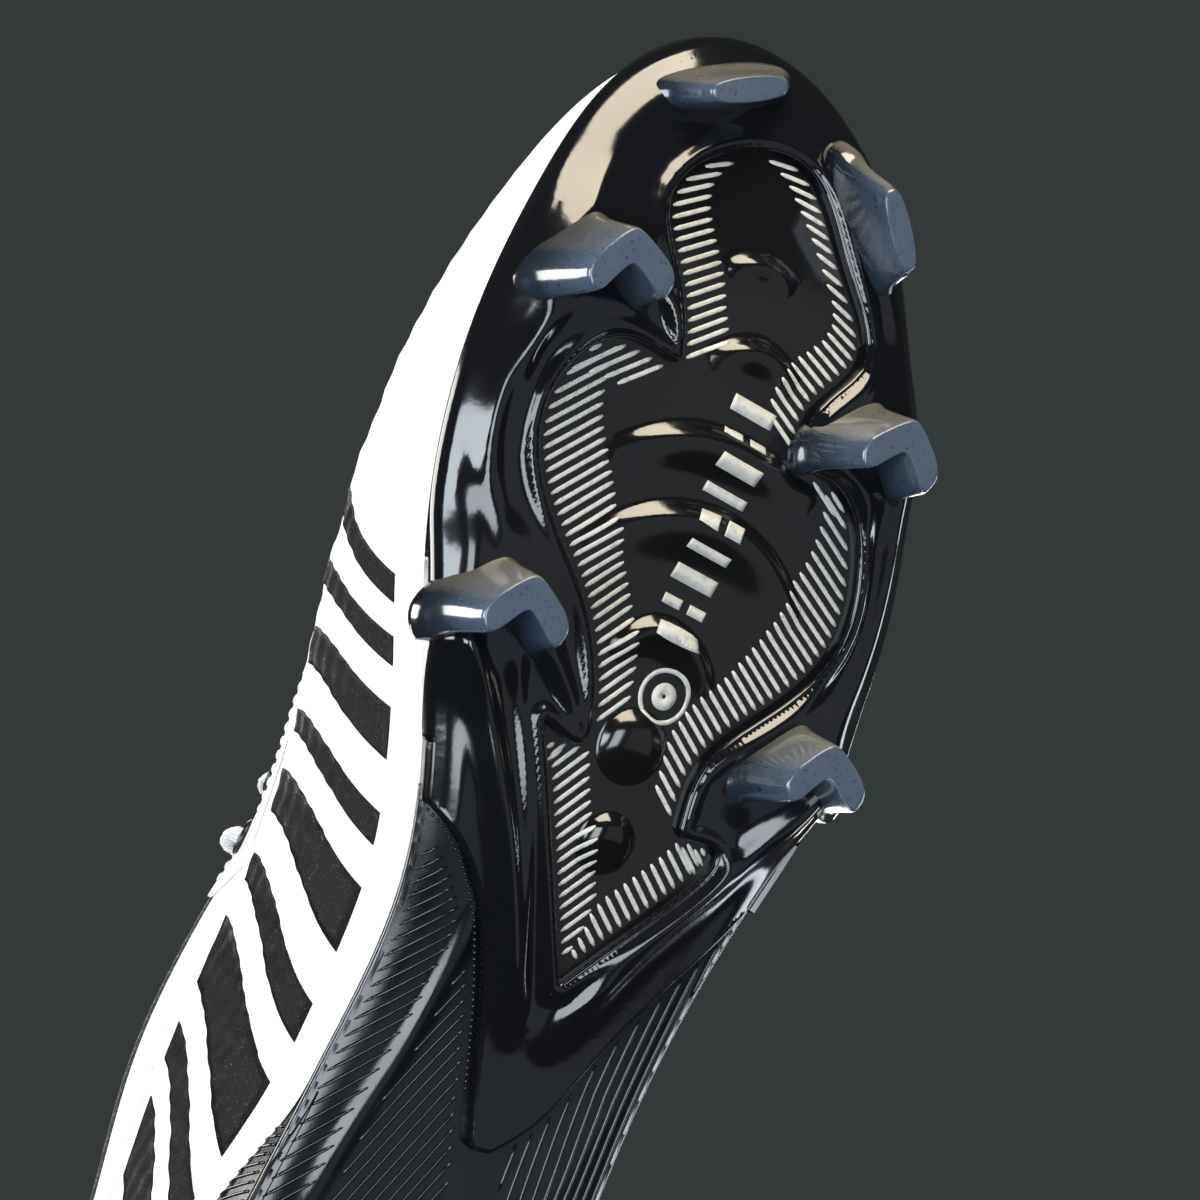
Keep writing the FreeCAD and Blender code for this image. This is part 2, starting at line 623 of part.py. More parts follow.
# ---------- checks and export ----------
NODES = [name for name, place, yaw in CHEVRON_STUDS] + [stud[0] for stud in EDGE_STUDS]
NODES += ["forefoot_plate", "window_panel", "rear_plate", "insole_board", "sock_liner", "upper",
          "toe_puff", "heel_counter", "collar_padding", "eyestay_medial", "eyestay_lateral",
          "eyelet_rings", "tongue", "lace", "lace_aglet", "lace_knot", "heel_tab"]
doc.recompute()
for item in doc.Objects:
    if "Invalid" in item.State or "Error" in item.State:
        raise RuntimeError("%s failed: %s" % (item.Label, item.State))
os.makedirs("parts", exist_ok=True)
for node in NODES:
    shape = doc.getObject(node).Shape
    if shape.isNull() or not shape.isValid():
        raise RuntimeError("%s has no valid shape" % node)
    shape.exportStep("parts/%s.step" % node)
    print("%-26s %9.1f mm3  %d solid(s)" % (node, shape.Volume, len(shape.Solids)))
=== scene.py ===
"""Looks of a left soccer cleat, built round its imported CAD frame.

Lengths are millimetres; x runs to the toe, y to the lateral side and z up.
"""
import math

import bpy
import numpy as np
from mathutils import Matrix, Vector


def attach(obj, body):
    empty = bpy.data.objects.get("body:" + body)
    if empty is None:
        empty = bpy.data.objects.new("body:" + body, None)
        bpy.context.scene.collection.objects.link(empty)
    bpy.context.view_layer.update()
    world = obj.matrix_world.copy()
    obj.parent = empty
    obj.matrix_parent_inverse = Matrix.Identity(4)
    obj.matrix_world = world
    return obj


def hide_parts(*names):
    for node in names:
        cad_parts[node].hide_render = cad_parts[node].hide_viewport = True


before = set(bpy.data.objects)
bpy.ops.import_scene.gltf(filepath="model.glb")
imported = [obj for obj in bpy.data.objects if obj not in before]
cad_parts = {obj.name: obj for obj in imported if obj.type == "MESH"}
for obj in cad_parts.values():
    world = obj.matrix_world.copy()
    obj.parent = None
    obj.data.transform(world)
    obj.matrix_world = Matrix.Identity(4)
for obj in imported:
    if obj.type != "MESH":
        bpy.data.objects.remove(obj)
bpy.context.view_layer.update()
MM = 0.001

# ---------- shape data shared with the CAD source ----------
SOLE = (
    (-141.5, -5.0), (-131.0, -27.0), (-104.0, -36.5), (-70.0, -35.0), (-38.0, -29.0), (-5.0, -26.0),
    (25.0, -33.0), (52.0, -41.5), (82.0, -44.3), (108.0, -39.0), (131.0, -27.5), (141.5, -12.0),
    (140.0, 8.0), (124.0, 24.5), (97.0, 36.0), (64.0, 44.0), (38.0, 44.0), (5.0, 35.5),
    (-32.0, 29.8), (-70.0, 27.0), (-104.0, 26.5), (-131.0, 17.0),
)
TOPLINE = (
    (-131.0, -5.0, 101.0), (-124.0, -20.0, 99.0), (-104.0, -29.0, 92.5), (-79.0, -31.5, 89.0),
    (-52.0, -30.0, 95.0), (-28.0, -22.0, 103.5), (-11.0, -18.0, 99.5), (4.0, -16.0, 94.0),
    (18.0, -14.5, 87.0), (32.0, -12.5, 79.5), (45.0, -9.0, 72.5), (52.0, -4.0, 68.5),
    (52.0, 1.0, 68.5), (45.0, 6.0, 72.5), (31.0, 9.0, 80.0), (14.0, 11.5, 89.0),
    (-7.0, 14.0, 98.0), (-28.0, 17.5, 103.5), (-52.0, 23.0, 95.0), (-79.0, 23.0, 89.0),
    (-104.0, 19.5, 92.5), (-124.0, 10.0, 99.0),
)
V_MEDIAL = ((13.5, -36.0), (7.3, -23.2), (-10.1, -10.5), (-34.2, -2.6), (-42.5, -0.5))
V_LATERAL = ((-42.5, 3.5), (-37.0, 9.5), (-23.0, 17.0), (-3.7, 27.8), (24.0, 46.0))
WINDOW = (
    ((-12.5, 4.5), (8.1, -5.6), (27.8, -14.5)),
    ((27.8, -14.5), (25.5, -7.5), (41.9, -10.5), (58.1, -23.3), (75.5, -30.7), (88.5, -22.0),
     (87.5, -9.5)),
    ((87.5, -9.5), (99.1, -12.7), (112.1, -18.3), (124.2, -7.0), (125.5, 5.5), (111.8, 16.5),
     (98.0, 23.0), (87.0, 16.0), (78.5, 17.0)),
    ((78.5, 17.0), (77.5, 24.5), (67.3, 32.1), (52.0, 33.2), (39.6, 25.2), (27.0, 15.5),
     (15.5, 15.2)),
    ((15.5, 15.2), (15.0, 22.5), (0.0, 14.5), (-12.5, 4.5)),
)
CHEVRON_STUDS = (
    ("medial_front_stud", (100.1, -30.5), -13.0), ("lateral_middle_stud", (87.0, 26.5), 3.0),
    ("medial_rear_stud", (45.2, -29.4), -4.0), ("lateral_rear_stud", (33.6, 31.0), -6.0),
    ("heel_medial_front_stud", (-78.0, -23.5), 6.0), ("heel_lateral_front_stud", (-78.0, 15.0), -6.0),
    ("heel_medial_rear_stud", (-118.0, -20.0), 12.0), ("heel_lateral_rear_stud", (-118.0, 10.0), -12.0),
)
EDGE_STUDS = (
    ("toe_stud", (132.5, -12.5), 66.0, 14.0), ("lateral_front_stud", (119.5, 18.0), -36.0, 8.0),
)
THROAT_ROWS = (42.0, 30.5, 19.0, 8.0, -4.0, -15.5)
TONGUE = (
    (62.0, 57.4, 15.0, 8.0, 2.5), (52.0, 61.9, 16.0, 9.0, 3.0), (40.0, 69.7, 17.5, 11.5, 3.5),
    (24.0, 80.2, 18.5, 13.0, 3.5), (8.0, 88.7, 19.5, 13.5, 3.5), (-10.0, 96.2, 20.0, 13.5, 4.0),
    (-28.0, 102.4, 20.0, 12.5, 4.5), (-39.0, 108.6, 19.5, 11.5, 4.5), (-45.0, 115.8, 17.5, 9.5, 3.5),
)
AROUND, UP = 72, 9  # columns and rows of the upper's net of poles
MIDDLE_Y = -1.5  # middle line of the throat
HOLE_INSET = 6.5  # from the throat's edge to the lacing holes
RIB = (0.6, 0.36)  # width and height of the outsole's fine ribs


# ---------- small mathematics ----------
def smooth(value):
    """Smooth step from 0 to 1."""
    value = np.clip(value, 0.0, 1.0)
    return value * value * (3.0 - 2.0 * value)


def sole_height(x):
    """Level of the outsole's lower face: toe spring, raised waist, lower heel."""
    x = np.asarray(x, float)
    height = 13.0 + 13.0 * np.maximum(0.0, (x - 68.5) / 71.0) ** 2
    return height + 6.0 * smooth((21.5 - x) / 60.0) - 5.0 * smooth((-63.5 - x) / 35.0)


def spline(points, count, closed=False):
    """Even points on the cubic spline through the given ones."""
    p = np.array(points, float)
    if closed:
        p = np.vstack([p, p[:1]])
    h = np.linalg.norm(np.diff(p, axis=0), axis=1)
    n = len(p)
    a = np.zeros((n, n))
    b = np.zeros_like(p)
    for i in range(1, n - 1):
        a[i, i - 1:i + 2] = h[i - 1], 2.0 * (h[i - 1] + h[i]), h[i]
        b[i] = 6.0 * ((p[i + 1] - p[i]) / h[i] - (p[i] - p[i - 1]) / h[i - 1])
    if closed:
        a[0, 0], a[0, -1] = 1.0, -1.0
        a[-1, 0] += 2.0 * h[0]
        a[-1, 1] += h[0]
        a[-1, -1] += 2.0 * h[-1]
        a[-1, -2] += h[-1]
        b[-1] = 6.0 * ((p[1] - p[0]) / h[0] - (p[-1] - p[-2]) / h[-1])
    else:
        a[0, 0] = a[-1, -1] = 1.0
    m = np.linalg.solve(a, b)
    knots = np.concatenate([[0.0], np.cumsum(h)])
    s = np.linspace(0.0, knots[-1], count + (1 if closed else 0))
    if closed:
        s = s[:-1]
    k = np.clip(np.searchsorted(knots, s, "right") - 1, 0, n - 2)
    f = ((knots[k + 1] - s) / h[k])[:, None]
    g = 1.0 - f
    bend = (f ** 3 - f) * m[k] + (g ** 3 - g) * m[k + 1]
    return f * p[k] + g * p[k + 1] + bend * (h[k] ** 2)[:, None] / 6.0


def even(points, pitch):
    """The same polyline with points an even pitch apart, and the distance of each along it."""
    p = np.array(points, float)
    run = np.concatenate([[0.0], np.cumsum(np.linalg.norm(np.diff(p, axis=0), axis=1))])
    s = np.linspace(0.0, run[-1], max(2, int(round(run[-1] / pitch)) + 1))
    return np.stack([np.interp(s, run, p[:, i]) for i in range(p.shape[1])], 1), s


def near_line(x, y, line, closed=False):
    """Distance to a polyline, the share along it of the nearest place, and which side it is on."""
    line = np.array(line, float)[:, :2]
    ends = np.vstack([line[1:], line[:1]]) if closed else line[1:]
    starts = line if closed else line[:-1]
    total = len(starts)
    best = np.full(np.shape(x), 1e9)
    share = np.zeros(np.shape(x))
    side = np.ones(np.shape(x))
    inside = np.zeros(np.shape(x), bool)
    for k, ((ax, ay), (bx, by)) in enumerate(zip(starts, ends)):
        dx, dy = bx - ax, by - ay
        t = np.clip(((x - ax) * dx + (y - ay) * dy) / (dx * dx + dy * dy + 1e-12), 0.0, 1.0)
        ex, ey = x - ax - t * dx, y - ay - t * dy
        d = ex * ex + ey * ey
        nearer = d < best
        best = np.where(nearer, d, best)
        share = np.where(nearer, (k + t) / total, share)
        side = np.where(nearer, np.sign(dx * ey - dy * ex), side)
        if closed:
            inside ^= ((ay > y) != (by > y)) & (x < (bx - ax) * (y - ay) / (by - ay + 1e-12) + ax)
    best = np.sqrt(best)
    return (np.where(inside, best, -best) if closed else best), share, side


STEP = 0.6
GX = np.arange(-145.2, 146.0, STEP)
GY = np.arange(-49.2, 49.8, STEP)
X, Y = np.meshgrid(GX, GY, indexing="ij")


class Field:
    """A quantity known on the grid, read anywhere by bilinear blending."""

    def __init__(self, values):
        self.values = values
        self.slope = np.gradient(values, STEP)

    def read(self, x, y, values=None):
        values = self.values if values is None else values
        u = np.clip((np.asarray(x, float) - GX[0]) / STEP, 0, len(GX) - 1.001)
        v = np.clip((np.asarray(y, float) - GY[0]) / STEP, 0, len(GY) - 1.001)
        i, j = u.astype(int), v.astype(int)
        f, g = u - i, v - j
        return (values[i, j] * (1 - f) * (1 - g) + values[i + 1, j] * f * (1 - g)
                + values[i, j + 1] * (1 - f) * g + values[i + 1, j + 1] * f * g)

    def uphill(self, x, y):
        gx, gy = self.read(x, y, self.slope[0]), self.read(x, y, self.slope[1])
        size = np.maximum(np.hypot(gx, gy), 1e-9)
        return np.stack([gx / size, gy / size], -1)


# ---------- making pieces ----------
def piece(name, points, faces, material, body="shoe", nodes=()):
    """Smooth-shaded mesh of one material that rides on a body."""
    mesh = bpy.data.meshes.new(name)
    mesh.from_pydata((np.asarray(points, float) * MM).tolist(), [], [tuple(f) for f in faces])
    mesh.validate()
    mesh.polygons.foreach_set("use_smooth", [True] * len(mesh.polygons))
    mesh.materials.append(material)
    item = bpy.data.objects.new(name, mesh)
    bpy.context.scene.collection.objects.link(item)
    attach(item, body)
    if nodes:
        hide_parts(*nodes)
    return item


def strip_faces(rows, columns, start=0, wrap=False, flip=False):
    """Quads of a grid of points stored row by row."""
    faces = []
    for i in range(rows - 1):
        for j in range(columns if wrap else columns - 1):
            k = (j + 1) % columns
            quad = (start + i * columns + j, start + i * columns + k,
                    start + (i + 1) * columns + k, start + (i + 1) * columns + j)
            faces.append(quad[::-1] if flip else quad)
    return faces


def tube_faces(rings, count):
    """Faces of a lofted tube with both ends closed."""
    last = (rings - 1) * count
    ends = [tuple(range(count - 1, -1, -1)), tuple(last + k for k in range(count))]
    return strip_faces(rings, count, wrap=True) + ends


class Heap:
    """Many small parts gathered into one mesh."""

    def __init__(self):
        self.points, self.faces = [], []

    def add(self, points, faces):
        start = len(self.points)
        self.points.extend(np.asarray(points, float).tolist())
        self.faces.extend(tuple(start + i for i in f) for f in faces)

    def sweep(self, path, across, up, profile, closed=False):
        """Closed profile of (across, up) pairs carried along a path; across and up are per point."""
        path, across, up = (np.asarray(v, float) for v in (path, across, up))
        profile = np.asarray(profile, float)
        if profile.ndim == 2:
            profile = np.broadcast_to(profile, (len(path),) + profile.shape)
        rings = path[:, None] + across[:, None] * profile[..., :1] + up[:, None] * profile[..., 1:]
        count = profile.shape[1]
        last = (len(path) - 1) * count
        faces = strip_faces(len(path), count, wrap=True, flip=True)
        if closed:
            faces += [(j, (j + 1) % count, last + (j + 1) % count, last + j) for j in range(count)]
        else:
            faces += [tuple(range(count)), tuple(last + j for j in reversed(range(count)))]
        self.add(rings.reshape(-1, 3), faces)

    def make(self, name, material, body="shoe", nodes=(), slot=None):
        return piece(name, self.points, self.faces, material, body, nodes)


def tangents(path, closed=False):
    path = np.asarray(path, float)
    if closed:
        t = np.roll(path, -1, 0) - np.roll(path, 1, 0)
    else:
        t = np.gradient(path, axis=0)
    return t / np.maximum(np.linalg.norm(t, axis=1), 1e-9)[:, None]


def unit(v):
    return v / np.maximum(np.linalg.norm(v, axis=-1), 1e-9)[..., None]


def circle(count):
    """Evenly spaced angles of one full turn."""
    return np.linspace(0.0, 2 * math.pi, count + 1)[:-1]


def oval(wide, thick, count):
    """Elliptical profile with the given half widths."""
    return [(wide * math.cos(a), thick * math.sin(a)) for a in circle(count)]


def thread(heap, path, up, radius):
    """One short stitch along a path."""
    heap.sweep(path, unit(np.cross(tangents(path), up)), up, oval(radius, radius, 6))


# ---------- materials ----------
def shader_of(made):
    return made.node_tree.nodes["Principled BSDF"]


def material(name, colour, roughness=0.5, **extra):
    """Principled material; extra holds socket values by their short names."""
    made = bpy.data.materials.new(name)
    made.use_nodes = True
    sockets = shader_of(made).inputs
    sockets["Base Color"].default_value = (*colour, 1.0)
    sockets["Roughness"].default_value = roughness
    for key, value in extra.items():
        sockets[key.replace("_", " ").title().replace("Ior", "IOR")].default_value = value
    return made


def link(made, source, target):
    made.node_tree.links.new(source, target)


def node(made, kind, feeds=(), **values):
    """New node; feeds are (socket, source) links, and values set its properties or sockets."""
    item = made.node_tree.nodes.new(kind)
    for key, value in values.items():
        if hasattr(item, key):
            setattr(item, key, value)
        else:
            item.inputs[key.replace("_", " ")].default_value = value
    for socket, source in feeds:
        link(made, source, item.inputs[socket])
    return item


def noise(made, scale, detail=3.0):
    """Soft random pattern in the piece's own space."""
    spot = node(made, "ShaderNodeTexCoord").outputs["Object"]
    item = node(made, "ShaderNodeTexNoise", [("Vector", spot)], Scale=scale, Detail=detail,
                Roughness=0.55)
    return item.outputs["Fac"]


def ramp(made, source, stops, target=None):
    """Colour ramp on a source; a stop is (place, colour) or (place, (grey,))."""
    item = node(made, "ShaderNodeValToRGB", [("Fac", source)])
    elements = item.color_ramp.elements
    while len(elements) < len(stops):
        elements.new(0.5)
    for element, (place, colour) in zip(elements, stops):
        element.position = place
        element.color = (*colour, 1.0) if len(colour) == 3 else (colour[0],) * 3 + (1.0,)
    if target is not None:
        link(made, item.outputs["Color"], target)
    return item.outputs["Color"]


def bump(made, source, strength, distance):
    """Bump on top of any bump that the material already has."""
    normal = shader_of(made).inputs["Normal"]
    feeds = [("Height", source)] + [("Normal", earlier.from_socket) for earlier in normal.links]
    item = node(made, "ShaderNodeBump", feeds, Strength=strength, Distance=distance)
    link(made, item.outputs["Normal"], normal)


def scaled(made, source, low, high, top=1.0):
    """The source's values, mapped from low..high to 0..top."""
    item = node(made, "ShaderNodeMapRange", [("Value", source)])
    for socket, value in zip(item.inputs[1:5], (low, high, 0.0, top)):
        socket.default_value = value
    return item.outputs[0]


def gloss_plastic(name, colour, roughness, fleck=0.35):
    """Moulded glossy plastic with faint handling marks and dust flecks."""
    made = material(name, colour, roughness, specular_ior_level=0.62, ior=1.5)
    sockets = shader_of(made).inputs
    ramp(made, noise(made, 55.0, 4.0), [(0.3, (roughness * 0.75,)), (0.75, (roughness * 1.7,))],
         sockets["Roughness"])
    lighter = tuple(c + 0.035 * fleck for c in colour)
    ramp(made, noise(made, 2300.0, 2.0), [(0.70, colour), (0.80, lighter)], sockets["Base Color"])
    bump(made, noise(made, 420.0), 0.05, 0.0004)
    return made


def smoky_stud():
    """Cloudy smoke-blue plastic: darker to the root, with painted warm light (a cream tint) where it
    faces the toe, and specks.
    """
    made = material("stud_smoke", (0.17, 0.21, 0.27), 0.2, specular_ior_level=0.6, ior=1.48,
                    transmission_weight=0.35, subsurface_weight=0.35,
                    subsurface_radius=(0.9, 1.0, 1.2), subsurface_scale=0.003, coat_weight=0.6,
                    coat_roughness=0.06)
    spot = node(made, "ShaderNodeTexCoord").outputs["Generated"]
    height = node(made, "ShaderNodeSeparateXYZ", [(0, spot)]).outputs["Z"]
    cloud = node(made, "ShaderNodeMath", [(0, noise(made, 190.0)), (2, height)],
                 operation="MULTIPLY_ADD")
    cloud.inputs[1].default_value = 0.3
    stops = [(0.1, (0.088, 0.122, 0.18)), (0.42, (0.062, 0.09, 0.138)),
             (0.68, (0.022, 0.034, 0.052)), (0.95, (0.004, 0.005, 0.008))]
    tint = ramp(made, scaled(made, cloud.outputs[0], 0.0, 1.15), stops)
    specks = ramp(made, noise(made, 1500.0, 1.0), [(0.30, (0.25,)), (0.36, (1.0,))])
    speckled = node(made, "ShaderNodeMixRGB", [("Color1", tint), ("Color2", specks)],
                    blend_type="MULTIPLY", Fac=0.7).outputs["Color"]
    # painted warm light: a cream tint mixed in on faces turned towards the toe, in place of the toe
    # lamp's light glowing through the plastic
    normal = node(made, "ShaderNodeNewGeometry").outputs["Normal"]
    toewards = node(made, "ShaderNodeSeparateXYZ", [(0, normal)]).outputs["X"]
    painted_toe_light = node(made, "ShaderNodeMixRGB",
                 [("Fac", scaled(made, toewards, 0.45, 0.9, 0.55)), ("Color1", speckled)],
                 Color2=(0.36, 0.33, 0.27, 1.0))
    link(made, painted_toe_light.outputs["Color"], shader_of(made).inputs["Base Color"])
    bump(made, noise(made, 260.0), 0.12, 0.0006)
    return made


def weave(name, colour, scale, depth, roughness=0.85, dark=0.72, sheen=0.25):
    """Knitted or woven cloth: crossing waves, slightly uneven, with a dusty sheen."""
    made = material(name, colour, roughness, sheen_weight=sheen, sheen_roughness=0.45,
                    specular_ior_level=0.25)
    spot = node(made, "ShaderNodeTexCoord").outputs["Object"]
    waves = [node(made, "ShaderNodeTexWave", [("Vector", spot)], bands_direction=direction,
                  Scale=scale, Distortion=1.1, Detail=1.0, Detail_Scale=1.6).outputs["Fac"]
             for direction in ("X", "Z")]
    both = node(made, "ShaderNodeMath", enumerate(waves), operation="MULTIPLY").outputs[0]
    ramp(made, both, [(0.05, tuple(c * dark for c in colour)), (0.45, colour)],
         shader_of(made).inputs["Base Color"])
    bump(made, both, 0.7, depth)
    bump(made, noise(made, 900.0, 2.0), 0.25, depth * 0.5)
    return made


def glitter_film():
    """Matte black printed film with small light flakes."""
    black = (0.005, 0.005, 0.0055)
    made = material("print_black", black, 0.75, specular_ior_level=0.07)
    flakes = noise(made, 2600.0, 1.0)
    sockets = shader_of(made).inputs
    ramp(made, flakes, [(0.68, black), (0.74, (0.09, 0.09, 0.10))], sockets["Base Color"])
    ramp(made, flakes, [(0.6, (0.62,)), (0.7, (0.25,))], sockets["Roughness"])
    bump(made, flakes, 0.3, 0.0001)
    return made


def printed_ink():
    """Warm grey ink, slightly worn."""
    grey = (0.50, 0.495, 0.46)
    made = material("ink_warm_grey", grey, 0.42, specular_ior_level=0.4)
    ramp(made, noise(made, 900.0), [(0.25, (0.34, 0.335, 0.31)), (0.5, grey)],
         shader_of(made).inputs["Base Color"])
    bump(made, noise(made, 1800.0, 2.0), 0.2, 0.00008)
    return made


outsole_black = gloss_plastic("outsole_gloss_black", (0.0035, 0.004, 0.0055), 0.10)
rear_black = gloss_plastic("rear_gloss_black", (0.004, 0.0048, 0.0066), 0.16)
panel_black = gloss_plastic("panel_gloss_black", (0.004, 0.0042, 0.0048), 0.11, 0.6)
stud_smoke = smoky_stud()
knit_white = weave("knit_white", (0.86, 0.86, 0.87), 260.0, 0.00030, 0.8, 0.90, 0.2)
lining_white = weave("lining_white", (0.62, 0.62, 0.64), 320.0, 0.00025, 0.9, 0.75)
collar_fabric = weave("collar_fabric", (0.035, 0.036, 0.04), 300.0, 0.0003, 0.9, 0.5)
tongue_fabric = weave("tongue_fabric", (0.05, 0.05, 0.055), 210.0, 0.0004, 0.85, 0.6)
liner_fabric = weave("liner_fabric", (0.05, 0.052, 0.058), 280.0, 0.0002, 0.9, 0.6)
lace_fabric = weave("lace_fabric", (0.84, 0.84, 0.85), 420.0, 0.0004, 0.8, 0.7)
tab_webbing = weave("tab_webbing", (0.02, 0.021, 0.024), 330.0, 0.0005, 0.8, 0.5)
board_fibre = weave("board_fibre", (0.42, 0.40, 0.36), 150.0, 0.0002, 0.9, 0.85, 0.0)
stiffener = weave("stiffener_sheet", (0.5, 0.5, 0.5), 200.0, 0.0002, 0.9, 0.85, 0.0)
thread_white = weave("thread_white", (0.8, 0.8, 0.8), 900.0, 0.0002, 0.7, 0.8)
print_black = glitter_film()
ink = printed_ink()
overlay_film = gloss_plastic("overlay_film_white", (0.74, 0.74, 0.76), 0.34, 0.0)
ring_metal = gloss_plastic("eyelet_black_metal", (0.05, 0.052, 0.058), 0.22, 0.0)
shader_of(ring_metal).inputs["Metallic"].default_value = 0.85
aglet_plastic = gloss_plastic("aglet_clear_grey", (0.35, 0.36, 0.38), 0.14, 0.0)
NODE_MATERIALS = {
    "insole_board": board_fibre, "toe_puff": stiffener, "heel_counter": stiffener,
    "eyestay_medial": overlay_film, "eyestay_lateral": overlay_film, "lace_aglet": aglet_plastic,
    "lace_knot": lace_fabric,
}
for name, made in NODE_MATERIALS.items():
    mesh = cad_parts[name].data
    mesh.materials.clear()
    mesh.materials.append(made)

# ---------- outsole: distances and relief ----------
sole_line = spline(SOLE, 420, True)
beyond = [(24.0, 70.0), (170.0, 70.0), (170.0, -70.0), (13.5, -70.0)]
v_line = np.vstack([spline(V_MEDIAL, 60), spline(V_LATERAL, 60), beyond])
window_line = np.vstack([spline(run, 44)[:-1] for run in WINDOW])
from_edge, in_v = (near_line(X, Y, line, True)[0] for line in (sole_line, v_line))
in_window, window_share, _ = near_line(X, Y, window_line, True)
BASE = sole_height(X)

# Mouldings of the plates: height, half width, whether both ends fade, and the line.
FOREFOOT_RIDGES = (
    (0.9, 1.8, True, ((118.0, -27.5), (104.0, -33.0), (84.0, -36.0), (66.0, -34.0))),
    (1.5, 2.0, True, ((95.0, -30.0), (76.0, -38.3), (62.8, -36.4), (52.0, -30.0))),
    (2.3, 2.1, False, ((36.0, -32.6), (28.5, -26.2), (21.5, -21.9), (7.0, -13.6), (-8.2, -6.5),
                       (-26.5, 1.0))),
    (1.0, 1.2, True, ((38.0, -24.0), (24.0, -16.9), (6.0, -9.4), (-10.0, -3.2), (-22.0, 1.6))),
    (2.5, 2.9, False, ((32.0, 40.0), (11.9, 26.4), (-5.0, 15.0), (-17.0, 9.2), (-27.0, 5.0))),
    (1.1, 2.0, True, ((112.0, 27.0), (98.0, 32.5), (74.0, 38.0), (50.0, 39.5), (36.0, 37.0))),
    (2.0, 1.7, True, ((101.0, -19.0), (95.0, -13.5), (89.0, -9.0))),
    (2.0, 1.7, True, ((40.0, -19.0), (34.0, -13.0), (28.0, -8.5))),
)
REAR_RIDGES = (
    (1.1, 1.9, True, ((2.0, -13.0), (-11.0, -13.7), (-20.5, -14.9), (-30.0, -16.8),
                      (-42.0, -20.4), (-62.0, -25.0))),
    (1.6, 4.2, True, ((-30.0, 21.0), (-52.0, 14.0), (-74.0, 3.0), (-100.0, -2.0))),
    (2.0, 3.4, True, ((-46.0, 1.5), (-60.0, 0.5), (-78.0, -2.0), (-104.0, -4.5))),
)
# Middles of the swellings round the chevron studs, a little behind their tips.
ROOTS = [(px - 2.0, py) for _, (px, py), _ in CHEVRON_STUDS]
FRONT_ROOTS, REAR_ROOTS = ROOTS[:4], ROOTS[4:]
EDGE_ROLL = (11.0, 6.0)  # width and height of the forefoot plate's rounded edge
REAR_ROLL = (1.0, 0.8)
REAR_RISE = 3.0  # the rear plate lies this much above the forefoot plate's level


def moulding(ridges, bosses):
    """Relief of a plate's ridges and of the (height, radius, middle) swellings, downwards."""
    depth = np.zeros_like(X)
    for height, width, both, points in ridges:
        d, share, _ = near_line(X, Y, spline(points, 40))
        if both:
            fade = np.sin(np.pi * np.clip(share, 0.001, 0.999)) ** 0.6
        else:
            fade = smooth((1.0 - share) * 4.0)
        depth -= height * fade * np.exp(-(d / width) ** 2)
    for height, radius, (px, py) in bosses:
        depth -= height * np.exp(-(np.hypot(X - px, Y - py) / radius) ** 4)
    return depth


def roll(distance, width, height):
    """Height of a rounded edge above its lowest level, at a distance in from the edge."""
    reach = np.clip(1.0 - distance / width, 0.0, 0.999)
    return height * (1.0 - np.sqrt(1.0 - reach * reach))


relief = moulding(FOREFOOT_RIDGES, [(2.6, 13.0, spot) for spot in FRONT_ROOTS]
                  + [(1.2, 13.0, spot) for _, spot, _, _ in EDGE_STUDS])
lip = np.maximum(-in_window, 0.0)
relief *= smooth((lip - 0.3) / 2.5)
relief -= 0.85 * np.exp(-((lip - 1.3) / 0.9) ** 2)
relief += 0.55 * smooth((from_edge - 4.5) / 4.0) * smooth((lip - 1.5) / 3.0)
under = Field(BASE + relief + roll(from_edge, *EDGE_ROLL))

# Curved ridges and drops on the window's panel: (points, height, reach to the toe, to the heel).
CRESCENTS = (
    (((104.7, -5.2), (107.6, 0.8), (105.4, 8.2)), 1.8, 2.2, 5.0),
    (((90.0, -4.6), (94.0, 3.4), (90.6, 12.5)), 2.2, 2.5, 6.5),
    (((71.0, -18.0), (77.8, -3.4), (76.6, 12.5), (73.6, 22.0)), 2.5, 2.8, 9.0),
    (((56.4, -17.6), (64.8, -2.6), (63.4, 13.4), (54.0, 25.0)), 2.8, 3.1, 11.0),
    (((40.6, -6.6), (46.8, 0.1), (44.4, 8.6), (38.6, 13.2)), 2.3, 2.6, 6.5),
)
DOMES = ((27.4, 2.6, 6.2, 3.2), (11.6, 3.6, 5.0, 2.7))
swell = np.zeros_like(X)
for points, height, ahead, behind in CRESCENTS:
    d, share, side = near_line(X, Y, spline(points, 40))
    taper = np.sin(np.pi * np.clip(share, 0.0, 1.0)) ** 0.75
    front = 1.0 - smooth(d / ahead)
    rear = (1.0 - smooth(d / behind)) ** 1.25
    swell = np.maximum(swell, height * taper * np.where(side < 0, front, rear))
for px, py, radius, height in DOMES:
    d = np.hypot(X - px, Y - py) / radius
    skew = 1.0 + 0.55 * np.clip((X - px) / radius, -1.0, 1.0)
    swell = np.maximum(swell, height * np.maximum(0.0, 1.0 - d ** 2.2) ** 0.8 * skew * 0.72)
swell *= smooth((in_window - 1.0) / 3.0)
panel_field = Field(BASE + 1.35 - swell)


